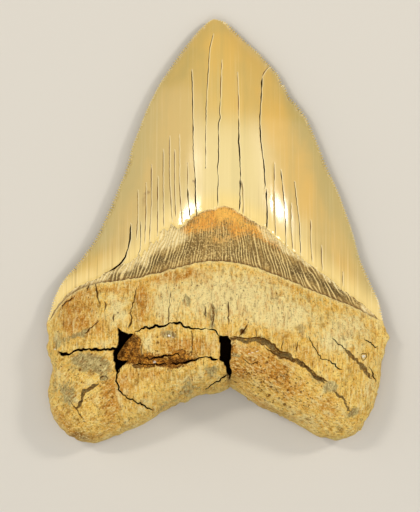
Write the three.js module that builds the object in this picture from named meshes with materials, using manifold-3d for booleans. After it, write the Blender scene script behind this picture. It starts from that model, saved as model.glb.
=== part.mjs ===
// A fossil megalodon tooth, five inches long, lying on its labial (outer, flatter) face with the
// domed lingual (inner) face up. Millimetres, X to the right, Y to the tip of the crown, Z up.
// The origin is under the middle of the tooth, on the surface that it lies on.
//
// Crown, bourrelet (the dark chevron band) and root grew as one piece, so this is one solid.
// It is a closed lens: one rim outline, and rings that run from the rim to a forked spine, once over
// the lingual face and once under the labial face. The bourrelet, cracks and gaps are cut from it.

import * as THREE from 'three';
import { mergeVertices } from 'three/addons/utils/BufferGeometryUtils.js';
import Module from 'manifold-3d';

const wasm = await Module();
wasm.setup();

// Driving dimensions

const THICKNESS = 26; // at the middle of the root, which is the thickest place
const BOURRELET_DEPTH = 0.6; // how far the band lies below the enamel and the root
const SERRATION_PITCH = 1.25;
const SERRATION_DEPTH = 0.5;
const VOID_DEPTH = 6.5; // the two gaps beside the broken block of the root
const ROOT_ROUNDING = 12; // how far in from its edge the root curves
const ROOT_BLEND = 13; // how far below the root's upper margin the crown's form has died out
const LINGUAL_FULLNESS = 1.1; // 1 is a parabola from edge to edge
const LABIAL_FULLNESS = 0.8;
const ROOT_LUMPS = 0.3; // height of the root's broad unevenness

// How finely the solid is faceted

const RINGS = 9;
const TIP_CELLS = 2;
const CROWN_CELLS = 22;
const FORK_CELLS = 8;
const LOBE_CELLS = 5;
const BAND_CELLS = 40;
const BAND_ROWS = 4;

// The outline, counter-clockwise seen from above, starting at the tip. Points were read on a level
// plane 8 mm up, seen from 900 mm above the surface, and settle() moves them to their own height.

const EYE = { x: -2.4, y: -7.6, height: 900, plane: 8 };

const TIP = [-1.0, 62.9];
const LEFT_SHOULDER = [-50.8, -28.0];
const RIGHT_SHOULDER = [49.6, -28.2];
const NOTCH = [3.9, -46.3];
const LEFT_LOBE_END = [-37.6, -62.9];
const RIGHT_LOBE_END = [35.8, -62.1];

const LEFT_EDGE = [TIP, [-3.9, 61.2], [-8.3, 56.4], [-14.3, 48.1], [-20.2, 37.9], [-25.6, 24.6], [-30.8, 9.7],
  [-36.7, -2.8], [-42.6, -10.9], [-45.8, -14.7], [-48.7, -20.2], LEFT_SHOULDER];
const LEFT_ROOT = [LEFT_SHOULDER, [-50.3, -32.6], [-50.6, -34.8], [-49.0, -40.6], [-50.0, -46.0],
  [-49.9, -50.4], [-48.6, -54.8], [-45.8, -59.3], [-42.6, -61.7], LEFT_LOBE_END];
const LEFT_BASE = [LEFT_LOBE_END, [-32.1, -61.6], [-23.2, -58.0], [-17.3, -54.3], [-11.0, -51.3],
  [-6.8, -49.3], [-0.6, -48.4], NOTCH];
const RIGHT_BASE = [NOTCH, [5.3, -47.4], [9.5, -50.4], [15.5, -53.8], [21.4, -56.6], [27.4, -59.8],
  RIGHT_LOBE_END];
const RIGHT_ROOT = [RIGHT_LOBE_END, [39.3, -61.4], [42.3, -59.6], [45.3, -55.1], [47.9, -47.5], [48.7, -41.6],
  [50.5, -33.2], [51.0, -31.7], RIGHT_SHOULDER];
const RIGHT_EDGE = [RIGHT_SHOULDER, [48.2, -21.1], [44.0, -11.5], [41.1, -2.8], [36.3, 11.2], [30.4, 25.0],
  [27.4, 32.3], [21.4, 40.5], [19.5, 43.5], [15.5, 49.6], [9.5, 55.5], [3.6, 61.3], TIP];

// The spine that the rings close on: down the crown, then forking into the two root lobes.

const SPINE_TOP = [0, 58];
const SPINE_FORK = [1, -30];
const LEFT_SPINE_END = [-39.5, -50.5];
const RIGHT_SPINE_END = [38, -49.5];

// The bourrelet's upper edge, where the enamel ends in a chevron, and its lower edge, where the root
// begins. Both run from the left shoulder to the right one.

const BAND_LEFT = [-50.0, -27.0];
const BAND_RIGHT = [48.8, -27.0];
const ENAMEL_LINE = [BAND_LEFT, [-47.6, -22.2], [-42.6, -17.0], [-36.0, -14.0], [-28.6, -10.3], [-22.6, -7.3],
  [-17.9, -2.2], [-13.7, 2.2], [-11.6, 0.4], [-4.8, 5.2], [1.2, 7.4], [3.6, 7.3], [10.4, 3.1], [18.5, -3.1],
  [26.5, -9.1], [34.2, -14.9], [42.6, -21.3], BAND_RIGHT];
const ROOT_LINE = [BAND_LEFT, [-47.6, -23.2], [-42.6, -18.8], [-36.0, -16.2], [-23.2, -14.0], [-11.3, -10.9],
  [0.6, -9.1], [12.5, -11.3], [24.4, -16.1], [34.8, -20.2], [42.3, -23.6], BAND_RIGHT];

// Heights above the surface it lies on, as [distance from the tip, height] along the middle.

const LINGUAL_MIDDLE = [[0, 3.4], [5, 6.4], [15, 10.2], [30, 14.2], [50, 18], [62, 19.8], [75, 21.4],
  [90, 22.5], [130, 22.5]];
// Where the labial face would dip below the surface it lies on, it is worn flat.
const LABIAL_MIDDLE = [[0, 2.4], [10, 1.2], [22, 0.1], [34, -0.4], [50, 0], [65, 0.7], [80, 1.3], [130, 1.4]];
const EDGE_HEIGHT = [[0, 3.0], [20, 3.3], [60, 4.0], [85, 5.0], [97, 6.0], [130, 6.5]];

// The root from its middle out to the lobes, as [distance from the middle, height].

const ROOT_TOP = [[0, THICKNESS], [10, THICKNESS - 0.8], [20, 22.6], [30, 19.6], [40, 16.6], [52, 13.2]];
const ROOT_BOTTOM = [[0, 1.4], [12, 1.2], [24, 0.1], [36, -0.4], [44, -0.1], [52, 1.1]];

// Gaps in the root, seen from above: the left one beside the broken block, and the right one, which
// runs on as a slit down to the notch.

const LEFT_GAP = [[-29.6, -28.7], [-27.2, -30.6], [-24.4, -30.7], [-26.8, -32.9], [-29.0, -35.6],
  [-29.8, -38.4], [-26.5, -38.8], [-28.9, -41.2], [-29.6, -42.6], [-30.4, -40.6], [-31.1, -37.2],
  [-29.8, -34.2]];
const RIGHT_GAP = [[0.6, -31.5], [3.1, -31.5], [3.9, -34.4], [3.8, -38.1], [3.4, -39.1], [4.4, -42.7],
  [3.9, -47.4], [3.3, -47.4], [3.2, -43.9], [1.9, -39.4], [0.3, -38.7], [0.6, -35.6]];

// Cracks, seen from above, with their width at the surface and their depth.

const CRACKS = [
  // across the left of the root, along the top of the block, and under it
  { width: 1.0, depth: 3.5, path: [[-47.3, -36.2], [-44.3, -37.1], [-41.4, -35.7], [-36.9, -35.5],
    [-30.6, -35.4]] },
  { width: 0.8, depth: 3.0, path: [[-24.9, -30.6], [-21.4, -28.7], [-19.9, -29.3], [-17.3, -28.7],
    [-14.0, -27.5], [-10.4, -28.4], [-5.4, -29.6], [-1.2, -29.7], [1.0, -31.8]] },
  { width: 0.7, depth: 2.5, path: [[0.6, -38.2], [-4.3, -37.6], [-9.5, -39.3], [-14.3, -39.7]] },
  { width: 2.6, depth: 1.4, path: [[-27.4, -39.4], [-22.0, -39.6], [-14.3, -40.0], [-7.6, -39.2]] },
  { width: 0.5, depth: 1.8, path: [[-12.5, -36.8], [-16.7, -37.8], [-22.3, -38.0]] },
  // from the left gap down the left lobe
  { width: 0.8, depth: 3.0, path: [[-28.4, -41.8], [-29.8, -44.2], [-28.9, -47.3], [-26.6, -50.0],
    [-21.6, -52.4], [-18.0, -54.8]] },
  { width: 1.2, depth: 1.6, path: [[-31.5, -43.6], [-36.3, -46.0], [-39.3, -47.9], [-41.7, -53.4]] },
  // the long groove down the right lobe, and the cracks on its outer side
  { width: 1.7, depth: 2.2, path: [[3.4, -32.0], [8.9, -32.9], [13.1, -32.7], [18.2, -36.5], [23.5, -38.4],
    [29.5, -43.4], [36.6, -48.7], [39.7, -53.7], [41.9, -58.4]] },
  { width: 0.7, depth: 2.0, path: [[34.2, -31.7], [38.7, -36.2], [44.0, -41.4], [46.1, -44.3]] },
  { width: 0.5, depth: 1.4, path: [[44.0, -32.2], [49.6, -35.6]] },
  { width: 0.6, depth: 1.8, path: [[27.1, -30.5], [28.7, -34.7], [31.2, -38.1], [37.4, -41.5]] },
  // short cracks down the upper root
  { width: 0.5, depth: 1.0, path: [[-24.4, -16.8], [-25.8, -23.7], [-25.3, -27.5]] },
  { width: 0.5, depth: 1.0, path: [[-36.2, -14.9], [-35.8, -19.5], [-34.8, -22.8]] },
  { width: 0.5, depth: 1.2, path: [[-1.5, -20.6], [-1.0, -25.4], [-1.2, -29.4]] },
  // the long cracks down the crown
  { width: 0.5, depth: 0.6, path: [[-1.2, 58.5], [-2.4, 50.7], [-3.3, 35.9], [-3.4, 18.6]] },
  { width: 0.5, depth: 0.7, path: [[-7.6, 47.8], [-7.2, 32.9], [-6.5, 15.0], [-6.1, 4.3]] },
  { width: 0.4, depth: 0.5, path: [[1.1, 44.8], [0.4, 26.9], [0.2, 7.7]] },
  { width: 0.6, depth: 0.7, path: [[6.4, 33.5], [6.7, 22.5], [7.3, 7.9], [7.6, 5.4]] },
  { width: 0.6, depth: 0.8, path: [[14.9, 48.2], [12.9, 36.5], [13.0, 26.3], [14.0, 12.1],
    [14.8, 0.4]] },
  { width: 0.5, depth: 0.6, path: [[18.6, 21.0], [20.1, 6.7], [20.5, -4.4]] },
  { width: 0.5, depth: 0.7, path: [[22.6, 18.0], [24.5, 1.9], [24.8, -7.2]] },
  { width: 0.4, depth: 0.6, path: [[-25.7, 1.9], [-26.6, -5.5], [-30.2, -10.4]] },
];

// Pores that show from a step away, as [x, y, radius].

const PORES = [[7.4, -30.2, 0.9], [14.9, -39.4, 0.7], [17.9, -43.9, 0.8], [13.1, -45.4, 0.6],
  [16.1, -46.9, 0.8], [21.1, -47.8, 0.8], [20.8, -43.0, 0.6], [20.2, -52.2, 0.9], [9.5, -42.7, 0.6],
  [25.0, -48.1, 0.6],
  [-17.6, -33.6, 0.7], [-34.2, -44.5, 1.0], [-7.7, -36.2, 0.5], [-41.0, -41.5, 0.8]];
const PORE_SIDES = 6;

// Small helpers

const clamp01 = (v) => Math.min(1, Math.max(0, v));
const mix = (a, b, f) => a + (b - a) * f;
const mixPoint = (a, b, f) => [mix(a[0], b[0], f), mix(a[1], b[1], f)];
const smooth = (v) => {
  const f = clamp01(v);
  return f * f * (3 - 2 * f);
};

// A smooth curve through [where, value] pairs.
function curveThrough(pairs) {
  const slopes = pairs.map((pair, i) => {
    const [before, after] = [pairs[Math.max(0, i - 1)], pairs[Math.min(pairs.length - 1, i + 1)]];
    return (after[1] - before[1]) / (after[0] - before[0]);
  });
  return (where) => {
    if (where <= pairs[0][0]) return pairs[0][1];
    if (where >= pairs.at(-1)[0]) return pairs.at(-1)[1];
    const i = pairs.findLastIndex((pair) => pair[0] <= where);
    const span = pairs[i + 1][0] - pairs[i][0];
    const f = (where - pairs[i][0]) / span;
    const ease = f * f * (3 - 2 * f);
    const start = f * (1 - f) * (1 - f) * span * slopes[i];
    const end = f * f * (f - 1) * span * slopes[i + 1];
    return mix(pairs[i][1], pairs[i + 1][1], ease) + start + end;
  };
}

// Points along a smooth outline section, evenly spaced.
function along(section, cells) {
  const curve = new THREE.SplineCurve(section.map(([x, y]) => new THREE.Vector2(x, y)));
  curve.arcLengthDivisions = 400;
  return curve.getSpacedPoints(cells).map((point) => [point.x, point.y]);
}

// The form of the tooth: its heights as functions of the place seen from above

const lingualMiddle = curveThrough(LINGUAL_MIDDLE);
const labialMiddle = curveThrough(LABIAL_MIDDLE);
const edgeHeight = curveThrough(EDGE_HEIGHT);
const rootTop = curveThrough(ROOT_TOP);
const rootBottom = curveThrough(ROOT_BOTTOM);
const fromTip = (y) => Math.max(0, TIP[1] - y);

// Moves a point read on the reading plane to where it lies at its own height.
function settle([x, y], height) {
  const nearer = (EYE.height - height) / (EYE.height - EYE.plane);
  return [mix(EYE.x, x, nearer), mix(EYE.y, y, nearer)];
}

const settleRim = (points) => points.map((point) => settle(point, edgeHeight(fromTip(point[1]))));
const onSurface = (points) => points.map((point) => settle(point, lingualHeight(...point)));

const leftEdge = settleRim(LEFT_EDGE);
const rightEdge = settleRim(RIGHT_EDGE);
const rootSections = [LEFT_ROOT, LEFT_BASE, RIGHT_BASE, RIGHT_ROOT].map(settleRim);
const rootRim = rootSections.flatMap((section) => along(section, 24));

// Where a line through [x, y] points crosses a level, for the crown's two edges.
function crossingAt(line, level) {
  const levels = line.map((point) => point[1]);
  const y = THREE.MathUtils.clamp(level, Math.min(...levels), Math.max(...levels));
  const i = line.findIndex((point, k) => k > 0 && (levels[k - 1] - y) * (point[1] - y) <= 0);
  const [a, b] = [line[i - 1], line[i]];
  return a[1] === b[1] ? a[0] : mix(a[0], b[0], (y - a[1]) / (b[1] - a[1]));
}

const leftEdgeLine = along(leftEdge, 60);
const rightEdgeLine = along(rightEdge, 60);
const rootLineLine = along(ROOT_LINE, 60);

// How far across the crown a point is: 0 in the middle, 1 at either edge.
function acrossCrown(x, y) {
  const left = crossingAt(leftEdgeLine, y);
  const right = crossingAt(rightEdgeLine, y);
  return clamp01(Math.abs(x - (left + right) / 2) / Math.max(0.5, (right - left) / 2));
}

function distanceToRootRim(x, y) {
  let nearest = Infinity;
  for (let i = 1; i < rootRim.length; i++) {
    const [a, b] = [rootRim[i - 1], rootRim[i]];
    const [ex, ey] = [b[0] - a[0], b[1] - a[1]];
    const f = clamp01(((x - a[0]) * ex + (y - a[1]) * ey) / Math.max(1e-9, ex * ex + ey * ey));
    nearest = Math.min(nearest, Math.hypot(x - a[0] - ex * f, y - a[1] - ey * f));
  }
  return nearest;
}

// 0 on the crown and band, 1 where the root has its own full form.
function rootShare(x, y) {
  const i = rootLineLine.findIndex((p) => p[0] >= x);
  const line = i < 0 ? BAND_RIGHT[1] : rootLineLine[i][1];
  return smooth((line - y) / ROOT_BLEND);
}

const roundIn = (distance) => Math.sqrt(1 - (1 - Math.min(1, distance / ROOT_ROUNDING)) ** 2);

function lumps(x, y) {
  return ROOT_LUMPS * (Math.sin(x / 3.1 + y / 7) + Math.sin(y / 2.7 - x / 9) + Math.sin((x + y) / 4.3));
}

function lingualHeight(x, y) {
  const edge = edgeHeight(fromTip(y));
  const dome = (1 - acrossCrown(x, y) ** 2) ** LINGUAL_FULLNESS;
  const crown = mix(edge, lingualMiddle(fromTip(y)), dome);
  const share = rootShare(x, y);
  if (share === 0) return crown;
  const inside = roundIn(distanceToRootRim(x, y));
  const root = mix(edge, rootTop(Math.abs(x)) + lumps(x, y), inside);
  return mix(crown, root, share);
}

function labialHeight(x, y) {
  const edge = edgeHeight(fromTip(y));
  const dome = (1 - acrossCrown(x, y) ** 2) ** LABIAL_FULLNESS;
  const crown = mix(edge, labialMiddle(fromTip(y)), dome);
  const share = rootShare(x, y);
  const root = share === 0 ? 0 : mix(edge, rootBottom(Math.abs(x)), roundIn(distanceToRootRim(x, y)));
  return Math.max(0, mix(crown, root, share));
}

// The closed lens between the rim and the spine

// A rim section as its coarse stations, the fine points between them, and the spine point each
// station faces.
function plainRim(section, cells, spineAt) {
  const stations = along(section, cells);
  const fine = stations.slice(1).map((station, i) => [stations[i], station]);
  return { stations, fine, spine: stations.map((station, i) => spineAt(i)) };
}

// The cutting edges have serrations: small teeth between valleys that reach inward.
function serratedRim(section, cells, spineAt) {
  const plain = plainRim(section, cells, spineAt);
  const length = new THREE.SplineCurve(section.map(([x, y]) => new THREE.Vector2(x, y))).getLength();
  const steps = 2 * Math.round(length / cells / SERRATION_PITCH);
  const points = along(section, cells * steps);
  const cut = points.map((point, i) => {
    if (i === 0 || i === points.length - 1 || i % 2 === 0) return point;
    const [before, after] = [points[i - 1], points[i + 1]];
    const way = [after[0] - before[0], after[1] - before[1]];
    const reach = SERRATION_DEPTH / Math.hypot(...way);
    return [point[0] - way[1] * reach, point[1] + way[0] * reach];
  });
  const fine = Array.from({ length: cells }, (_, i) => cut.slice(i * steps, (i + 1) * steps + 1));
  return { stations: plain.stations, fine, spine: plain.spine };
}

// Rings crowd towards the rim, where the surface curves most.
const ringFraction = (ring) => 1 - Math.cos((Math.PI / 2) * (ring / RINGS));

function lens(rims) {
  const triangles = [];
  const put = (a, b, c) => {
    const same = (p, q) => Math.hypot(p[0] - q[0], p[1] - q[1], p[2] - q[2]) < 1e-4;
    if (!same(a, b) && !same(b, c) && !same(c, a)) triangles.push(...a, ...b, ...c);
  };
  for (const [height, turned] of [[lingualHeight, false], [labialHeight, true]]) {
    const rimPoint = ([x, y]) => [x, y, edgeHeight(fromTip(y))];
    const inner = ([x, y]) => [x, y, height(x, y)];
    const face = (a, b, c) => (turned ? put(a, c, b) : put(a, b, c));
    for (const { stations, fine, spine } of rims) {
      const rows = stations.map((station, i) => Array.from({ length: RINGS + 1 }, (_, ring) => (
        inner(mixPoint(station, spine[i], ringFraction(ring))))));
      fine.forEach((points, i) => {
        const [p, q] = [rows[i][1], rows[i + 1][1]];
        const half = Math.floor((points.length - 1) / 2);
        for (let k = 0; k + 1 < points.length; k++) {
          face(rimPoint(points[k]), rimPoint(points[k + 1]), k < half ? p : q);
        }
        face(rimPoint(points[half]), q, p);
        for (let ring = 1; ring < RINGS; ring++) {
          const [a, b] = [rows[i][ring], rows[i + 1][ring]];
          const [c, d] = [rows[i + 1][ring + 1], rows[i][ring + 1]];
          face(a, b, c);
          face(a, c, d);
        }
      });
    }
  }
  return triangles;
}

const crownSpine = (f) => mixPoint(SPINE_TOP, SPINE_FORK, clamp01(f));
const leftSpine = (f) => mixPoint(SPINE_FORK, LEFT_SPINE_END, clamp01(f));
const rightSpine = (f) => mixPoint(SPINE_FORK, RIGHT_SPINE_END, clamp01(f));
const [leftRoot, leftBase, rightBase, rightRoot] = rootSections;
const ROOT_CELLS = FORK_CELLS + LOBE_CELLS;

const rims = [
  serratedRim(leftEdge, TIP_CELLS + CROWN_CELLS, (i) => crownSpine((i - TIP_CELLS) / CROWN_CELLS)),
  plainRim(leftRoot, ROOT_CELLS, (i) => leftSpine(i / FORK_CELLS)),
  plainRim(leftBase, ROOT_CELLS, (i) => leftSpine((ROOT_CELLS - i) / FORK_CELLS)),
  plainRim(rightBase, ROOT_CELLS, (i) => rightSpine(i / FORK_CELLS)),
  plainRim(rightRoot, ROOT_CELLS, (i) => rightSpine((ROOT_CELLS - i) / FORK_CELLS)),
  serratedRim(rightEdge, TIP_CELLS + CROWN_CELLS, (i) => crownSpine((CROWN_CELLS - i) / CROWN_CELLS)),
];

// Solids

function geometryOf(triangles) {
  const geometry = new THREE.BufferGeometry();
  geometry.setAttribute('position', new THREE.Float32BufferAttribute(triangles, 3));
  return geometry;
}

function solidOf(geometry) {
  const bare = geometry.clone();
  bare.deleteAttribute('normal');
  bare.deleteAttribute('uv');
  const merged = mergeVertices(bare, 1e-3);
  const vertProperties = new Float32Array(merged.attributes.position.array);
  const triVerts = new Uint32Array(merged.index.array);
  return new wasm.Manifold(new wasm.Mesh({ numProp: 3, vertProperties, triVerts }));
}

// A closed strip of rows of [x, y, z]: each row a ring of the same number of points, capped at the ends.
function loft(rows) {
  const triangles = [];
  const put = (a, b, c) => triangles.push(...a, ...b, ...c);
  for (let i = 1; i < rows.length; i++) {
    rows[i].forEach((point, k) => {
      const next = (k + 1) % rows[i].length;
      put(rows[i - 1][k], rows[i - 1][next], rows[i][next]);
      put(rows[i - 1][k], rows[i][next], point);
    });
  }
  const [first, last] = [rows[0], rows.at(-1)];
  for (let k = 1; k + 1 < first.length; k++) {
    put(first[0], first[k + 1], first[k]);
    put(last[0], last[k], last[k + 1]);
  }
  return geometryOf(triangles);
}

const ABOVE = 6; // how far cutters reach over the thickest place

// The recess of the bourrelet: a strip that follows the surface from the enamel to the root.
function bandCutter() {
  const upper = along(onSurface(ENAMEL_LINE), BAND_CELLS);
  const lower = along(onSurface(ROOT_LINE), BAND_CELLS);
  const rows = upper.map((point, i) => {
    const end = Math.min(i, BAND_CELLS - i) / BAND_CELLS;
    const open = Math.max(0.05, smooth(end / 0.12));
    const middle = mixPoint(point, lower[i], 0.5);
    const [top, bottom] = [mixPoint(middle, point, open), mixPoint(middle, lower[i], open)];
    const floor = Array.from({ length: BAND_ROWS + 1 }, (_, k) => {
      const [x, y] = mixPoint(bottom, top, k / BAND_ROWS);
      return [x, y, lingualHeight(x, y) - BOURRELET_DEPTH * open];
    });
    return [[...top, THICKNESS + ABOVE], [...bottom, THICKNESS + ABOVE], ...floor];
  });
  return loft(rows);
}

// A wedge along a path, wide at the surface and sharp below, dying out at its ends.
function crackCutter({ path, width, depth }) {
  const points = onSurface(path);
  const rows = points.map((point, i) => {
    const before = points[Math.max(0, i - 1)];
    const after = points[Math.min(points.length - 1, i + 1)];
    const way = [after[0] - before[0], after[1] - before[1]];
    const full = i === 0 || i === points.length - 1 ? 0.3 : 1;
    const reach = ((full * width) / 2) * (1 + 1 / depth) / Math.hypot(...way);
    const height = lingualHeight(...point);
    return [
      [point[0] - way[1] * reach, point[1] + way[0] * reach, height + full],
      [point[0] + way[1] * reach, point[1] - way[0] * reach, height + full],
      [...point, height - depth * full],
    ];
  });
  return loft(rows);
}

// A gap of the given outline, with upright walls and a level floor.
function gapCutter(outline) {
  const points = onSurface(outline);
  const shape = new THREE.Shape(points.map(([x, y]) => new THREE.Vector2(x, y)));
  const floor = Math.max(...points.map((point) => lingualHeight(...point))) - VOID_DEPTH;
  const depth = THICKNESS + ABOVE - floor;
  return new THREE.ExtrudeGeometry(shape, { depth, bevelEnabled: false }).translate(0, 0, floor);
}

// A small cone, point down, that opens at the surface.
function poreCutter([x, y, radius]) {
  const [place] = onSurface([[x, y]]);
  const cone = new THREE.ConeGeometry(2 * radius, 2 * radius, PORE_SIDES).rotateX(-Math.PI / 2);
  return cone.translate(...place, lingualHeight(...place));
}

function toothGeometry() {
  const cutters = [bandCutter(), gapCutter(LEFT_GAP), gapCutter(RIGHT_GAP), ...CRACKS.map(crackCutter),
    ...PORES.map(poreCutter)];
  const whole = solidOf(geometryOf(lens(rims)));
  const solid = cutters.reduce((body, cutter) => body.subtract(solidOf(cutter)), whole);
  const mesh = solid.getMesh();
  const geometry = new THREE.BufferGeometry();
  geometry.setAttribute('position', new THREE.Float32BufferAttribute(mesh.vertProperties, 3));
  geometry.setIndex(new THREE.Uint32BufferAttribute(mesh.triVerts, 1));
  geometry.computeBoundingBox();
  const middle = geometry.boundingBox.getCenter(new THREE.Vector3());
  geometry.translate(-middle.x, -middle.y, -geometry.boundingBox.min.z);
  return geometry;
}

const fossil = new THREE.MeshStandardMaterial({ color: 0xd8bf8c, roughness: 0.45, metalness: 0 });
const tooth = new THREE.Mesh(toothGeometry(), fossil);
tooth.name = 'tooth';

const model = new THREE.Group();
model.add(tooth);

export default model;
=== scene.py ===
import math
from functools import partial

import bpy
import numpy as np
from bpy.props import FloatProperty, FloatVectorProperty, PointerProperty
from bpy.types import Operator, Panel, PropertyGroup
from mathutils import Matrix, Vector
from mathutils.geometry import delaunay_2d_cdt
from mathutils.kdtree import KDTree


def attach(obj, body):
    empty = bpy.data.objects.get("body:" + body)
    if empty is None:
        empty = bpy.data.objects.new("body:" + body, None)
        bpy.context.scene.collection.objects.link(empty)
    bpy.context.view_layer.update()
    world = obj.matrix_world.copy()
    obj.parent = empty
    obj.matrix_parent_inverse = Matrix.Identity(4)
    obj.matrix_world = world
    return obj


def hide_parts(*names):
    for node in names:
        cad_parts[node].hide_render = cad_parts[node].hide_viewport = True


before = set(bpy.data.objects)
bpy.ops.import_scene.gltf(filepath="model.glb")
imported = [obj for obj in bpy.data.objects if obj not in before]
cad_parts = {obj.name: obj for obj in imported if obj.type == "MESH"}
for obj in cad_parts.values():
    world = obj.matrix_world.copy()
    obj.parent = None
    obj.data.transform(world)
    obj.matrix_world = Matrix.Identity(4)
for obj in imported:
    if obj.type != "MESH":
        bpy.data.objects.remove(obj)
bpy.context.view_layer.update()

bl_info = {
    "name": "Fossil Megalodon Tooth",
    "version": (1, 0, 0),
    "blender": (4, 5, 0),
    "location": "3D View > Sidebar > Fossil",
    "description": "Builds the fossil tooth and the table that it lies on",
    "category": "Add Mesh",
}

# One millimetre in metres: the tooth is worked out in millimetres

MM = 0.001

# Where the points below were read from: an eye this high above the table, on a level plane 8 mm up

EYE_X, EYE_Y, EYE_HEIGHT, READING_PLANE = -2.4, -7.6, 900.0, 8.0
PICTURE_HEIGHT = 512
PIXELS_PER_MM = 3.36  # on the reading plane
SENSOR = 36.0

# The outline in millimetres, counter-clockwise seen from above, starting at the tip

TIP = (-1.0, 62.9)
LEFT_SHOULDER = (-50.8, -28.0)
RIGHT_SHOULDER = (49.6, -28.2)
NOTCH = (3.9, -46.3)
LEFT_LOBE_END = (-37.6, -62.9)
RIGHT_LOBE_END = (35.8, -62.1)

LEFT_EDGE = [
    TIP, (-2.4, 62.3), (-3.9, 61.2), (-5.4, 59.8), (-8.3, 56.4), (-11.3, 52.7), (-14.3, 48.1), (-17.3, 43.6),
    (-20.2, 37.9), (-21.7, 34.7), (-23.5, 29.9), (-25.6, 24.6), (-27.4, 18.0), (-30.8, 9.7), (-33.7, 3.2),
    (-36.7, -2.8), (-39.6, -7.0), (-42.6, -10.9), (-45.8, -14.7), (-48.7, -20.2), (-50.1, -24.9),
    LEFT_SHOULDER,
]
LEFT_ROOT = [
    LEFT_SHOULDER, (-50.5, -30.2), (-50.3, -32.6), (-50.6, -34.8), (-50.1, -37.4), (-49.0, -40.6),
    (-49.5, -43.3), (-50.0, -46.0), (-49.9, -50.4), (-48.6, -54.8), (-45.8, -59.3), (-42.6, -61.7),
    (-39.6, -62.8), LEFT_LOBE_END,
]
LEFT_BASE = [
    LEFT_LOBE_END, (-35.6, -62.9), (-32.1, -61.6), (-29.2, -60.5), (-23.2, -58.0), (-20.2, -56.4),
    (-17.3, -54.3), (-14.3, -52.7), (-11.0, -51.3), (-9.4, -51.0), (-6.8, -49.3), (-3.9, -48.7),
    (-0.6, -48.4), (2.3, -47.3), NOTCH,
]
RIGHT_BASE = [
    NOTCH, (5.3, -47.4), (9.5, -50.4), (12.5, -52.3), (15.5, -53.8), (21.4, -56.6), (27.4, -59.8),
    (30.4, -61.1), (33.3, -62.0), RIGHT_LOBE_END,
]
RIGHT_ROOT = [
    RIGHT_LOBE_END, (39.3, -61.4), (42.3, -59.6), (45.3, -55.1), (46.8, -52.0), (47.9, -47.5), (48.7, -41.6),
    (49.9, -35.6), (50.5, -33.2), (51.0, -31.7), (50.3, -29.6), RIGHT_SHOULDER,
]
RIGHT_EDGE = [
    RIGHT_SHOULDER, (49.2, -25.6), (48.2, -21.1), (46.2, -16.5), (44.0, -11.5), (42.7, -8.5), (41.1, -2.8),
    (39.2, 3.2), (36.3, 11.2), (33.3, 18.0), (30.4, 25.0), (27.4, 32.3), (24.4, 36.9), (22.6, 38.9),
    (21.4, 40.5), (20.2, 43.3), (19.5, 43.5), (18.5, 46.1), (15.5, 49.6), (12.5, 52.8), (9.5, 55.5),
    (6.5, 58.4), (3.6, 61.3), (1.8, 62.4), TIP,
]

# The bourrelet's two edges from the left shoulder to the right one, and the labial enamel's edge

ENAMEL_LINE = [
    (-50.3, -27.2), (-49.1, -24.6), (-47.6, -22.2), (-45.2, -19.5), (-42.6, -17.4), (-39.6, -15.9),
    (-36.0, -14.4), (-32.1, -12.1), (-28.6, -10.3), (-25.3, -9.1), (-23.8, -8.2), (-23.2, -7.0),
    (-22.6, -8.0), (-21.6, -5.5), (-20.8, -6.6), (-20.0, -3.4), (-18.8, -4.4), (-18.0, -2.6), (-17.5, -3.6),
    (-17.0, -0.4), (-15.8, 0.7), (-14.9, -0.4), (-14.0, 0.9), (-13.7, 2.2), (-12.5, 1.2), (-11.6, 0.4),
    (-10.4, 1.0), (-8.3, 3.1), (-4.8, 5.2), (-1.2, 6.2), (1.2, 7.4), (3.6, 7.3), (6.5, 5.2), (10.4, 3.1),
    (14.6, 0.4), (18.5, -3.1), (22.3, -6.2), (26.5, -9.1), (30.4, -12.2), (34.2, -14.9), (36.9, -17.4),
    (42.6, -21.3), (46.1, -24.3), (49.0, -27.2),
]
ROOT_LINE = [
    (-50.3, -27.2), (-47.6, -22.9), (-45.2, -20.4), (-42.6, -18.4), (-39.6, -17.0), (-36.0, -16.0),
    (-29.2, -15.0), (-23.2, -14.0), (-17.3, -12.6), (-11.3, -10.9), (-5.4, -9.4), (0.6, -9.1), (6.5, -9.8),
    (12.5, -11.3), (18.5, -13.8), (24.4, -16.1), (28.9, -18.2), (34.8, -20.4), (42.3, -23.6), (47.0, -26.2),
    (49.0, -27.2),
]
LABIAL_LINE = [
    (-50.3, -26.0), (-42.0, -24.5), (-30.0, -21.5), (-14.0, -17.5), (0.0, -15.5), (14.0, -17.2),
    (30.0, -21.0), (42.0, -24.5), (49.0, -26.5),
]

# Heights above the table: along the middle and the edge by distance from the tip, and across the root
# by distance from the middle

LINGUAL_MIDDLE = [(0, 3.4), (5, 6.4), (15, 10.2), (30, 14.2), (50, 18), (62, 19.8), (75, 21.4), (90, 22.5),
                  (130, 22.5)]
LABIAL_MIDDLE = [(0, 2.4), (10, 1.2), (22, 0.1), (34, -0.4), (50, 0), (65, 0.7), (80, 1.3), (130, 1.4)]
EDGE_HEIGHT = [(0, 3.0), (20, 3.3), (60, 4.0), (85, 5.0), (97, 6.0), (130, 6.5)]
ROOT_TOP_BELOW = [(0, 0.0), (10, -0.8), (20, -3.4), (30, -6.4), (40, -9.4), (52, -12.8)]
ROOT_BOTTOM = [(0, 1.4), (12, 1.2), (24, 0.1), (36, -0.4), (44, -0.1), (52, 1.1)]
ROOT_ROUNDING = 12.0
ROOT_BLEND = 13.0
LINGUAL_FULLNESS = 1.1
LABIAL_FULLNESS = 0.8
SWELLING = 0.35  # the crown is a little fuller here, this far from the tip and over this reach
SWELLING_PLACE = 57.0
SWELLING_REACH = 9.0
COLLAR_DEPTH = 0.25  # how far the enamel thins toward the bourrelet
COLLAR_REACH = 4.0

# Gaps beside the broken block

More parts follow.
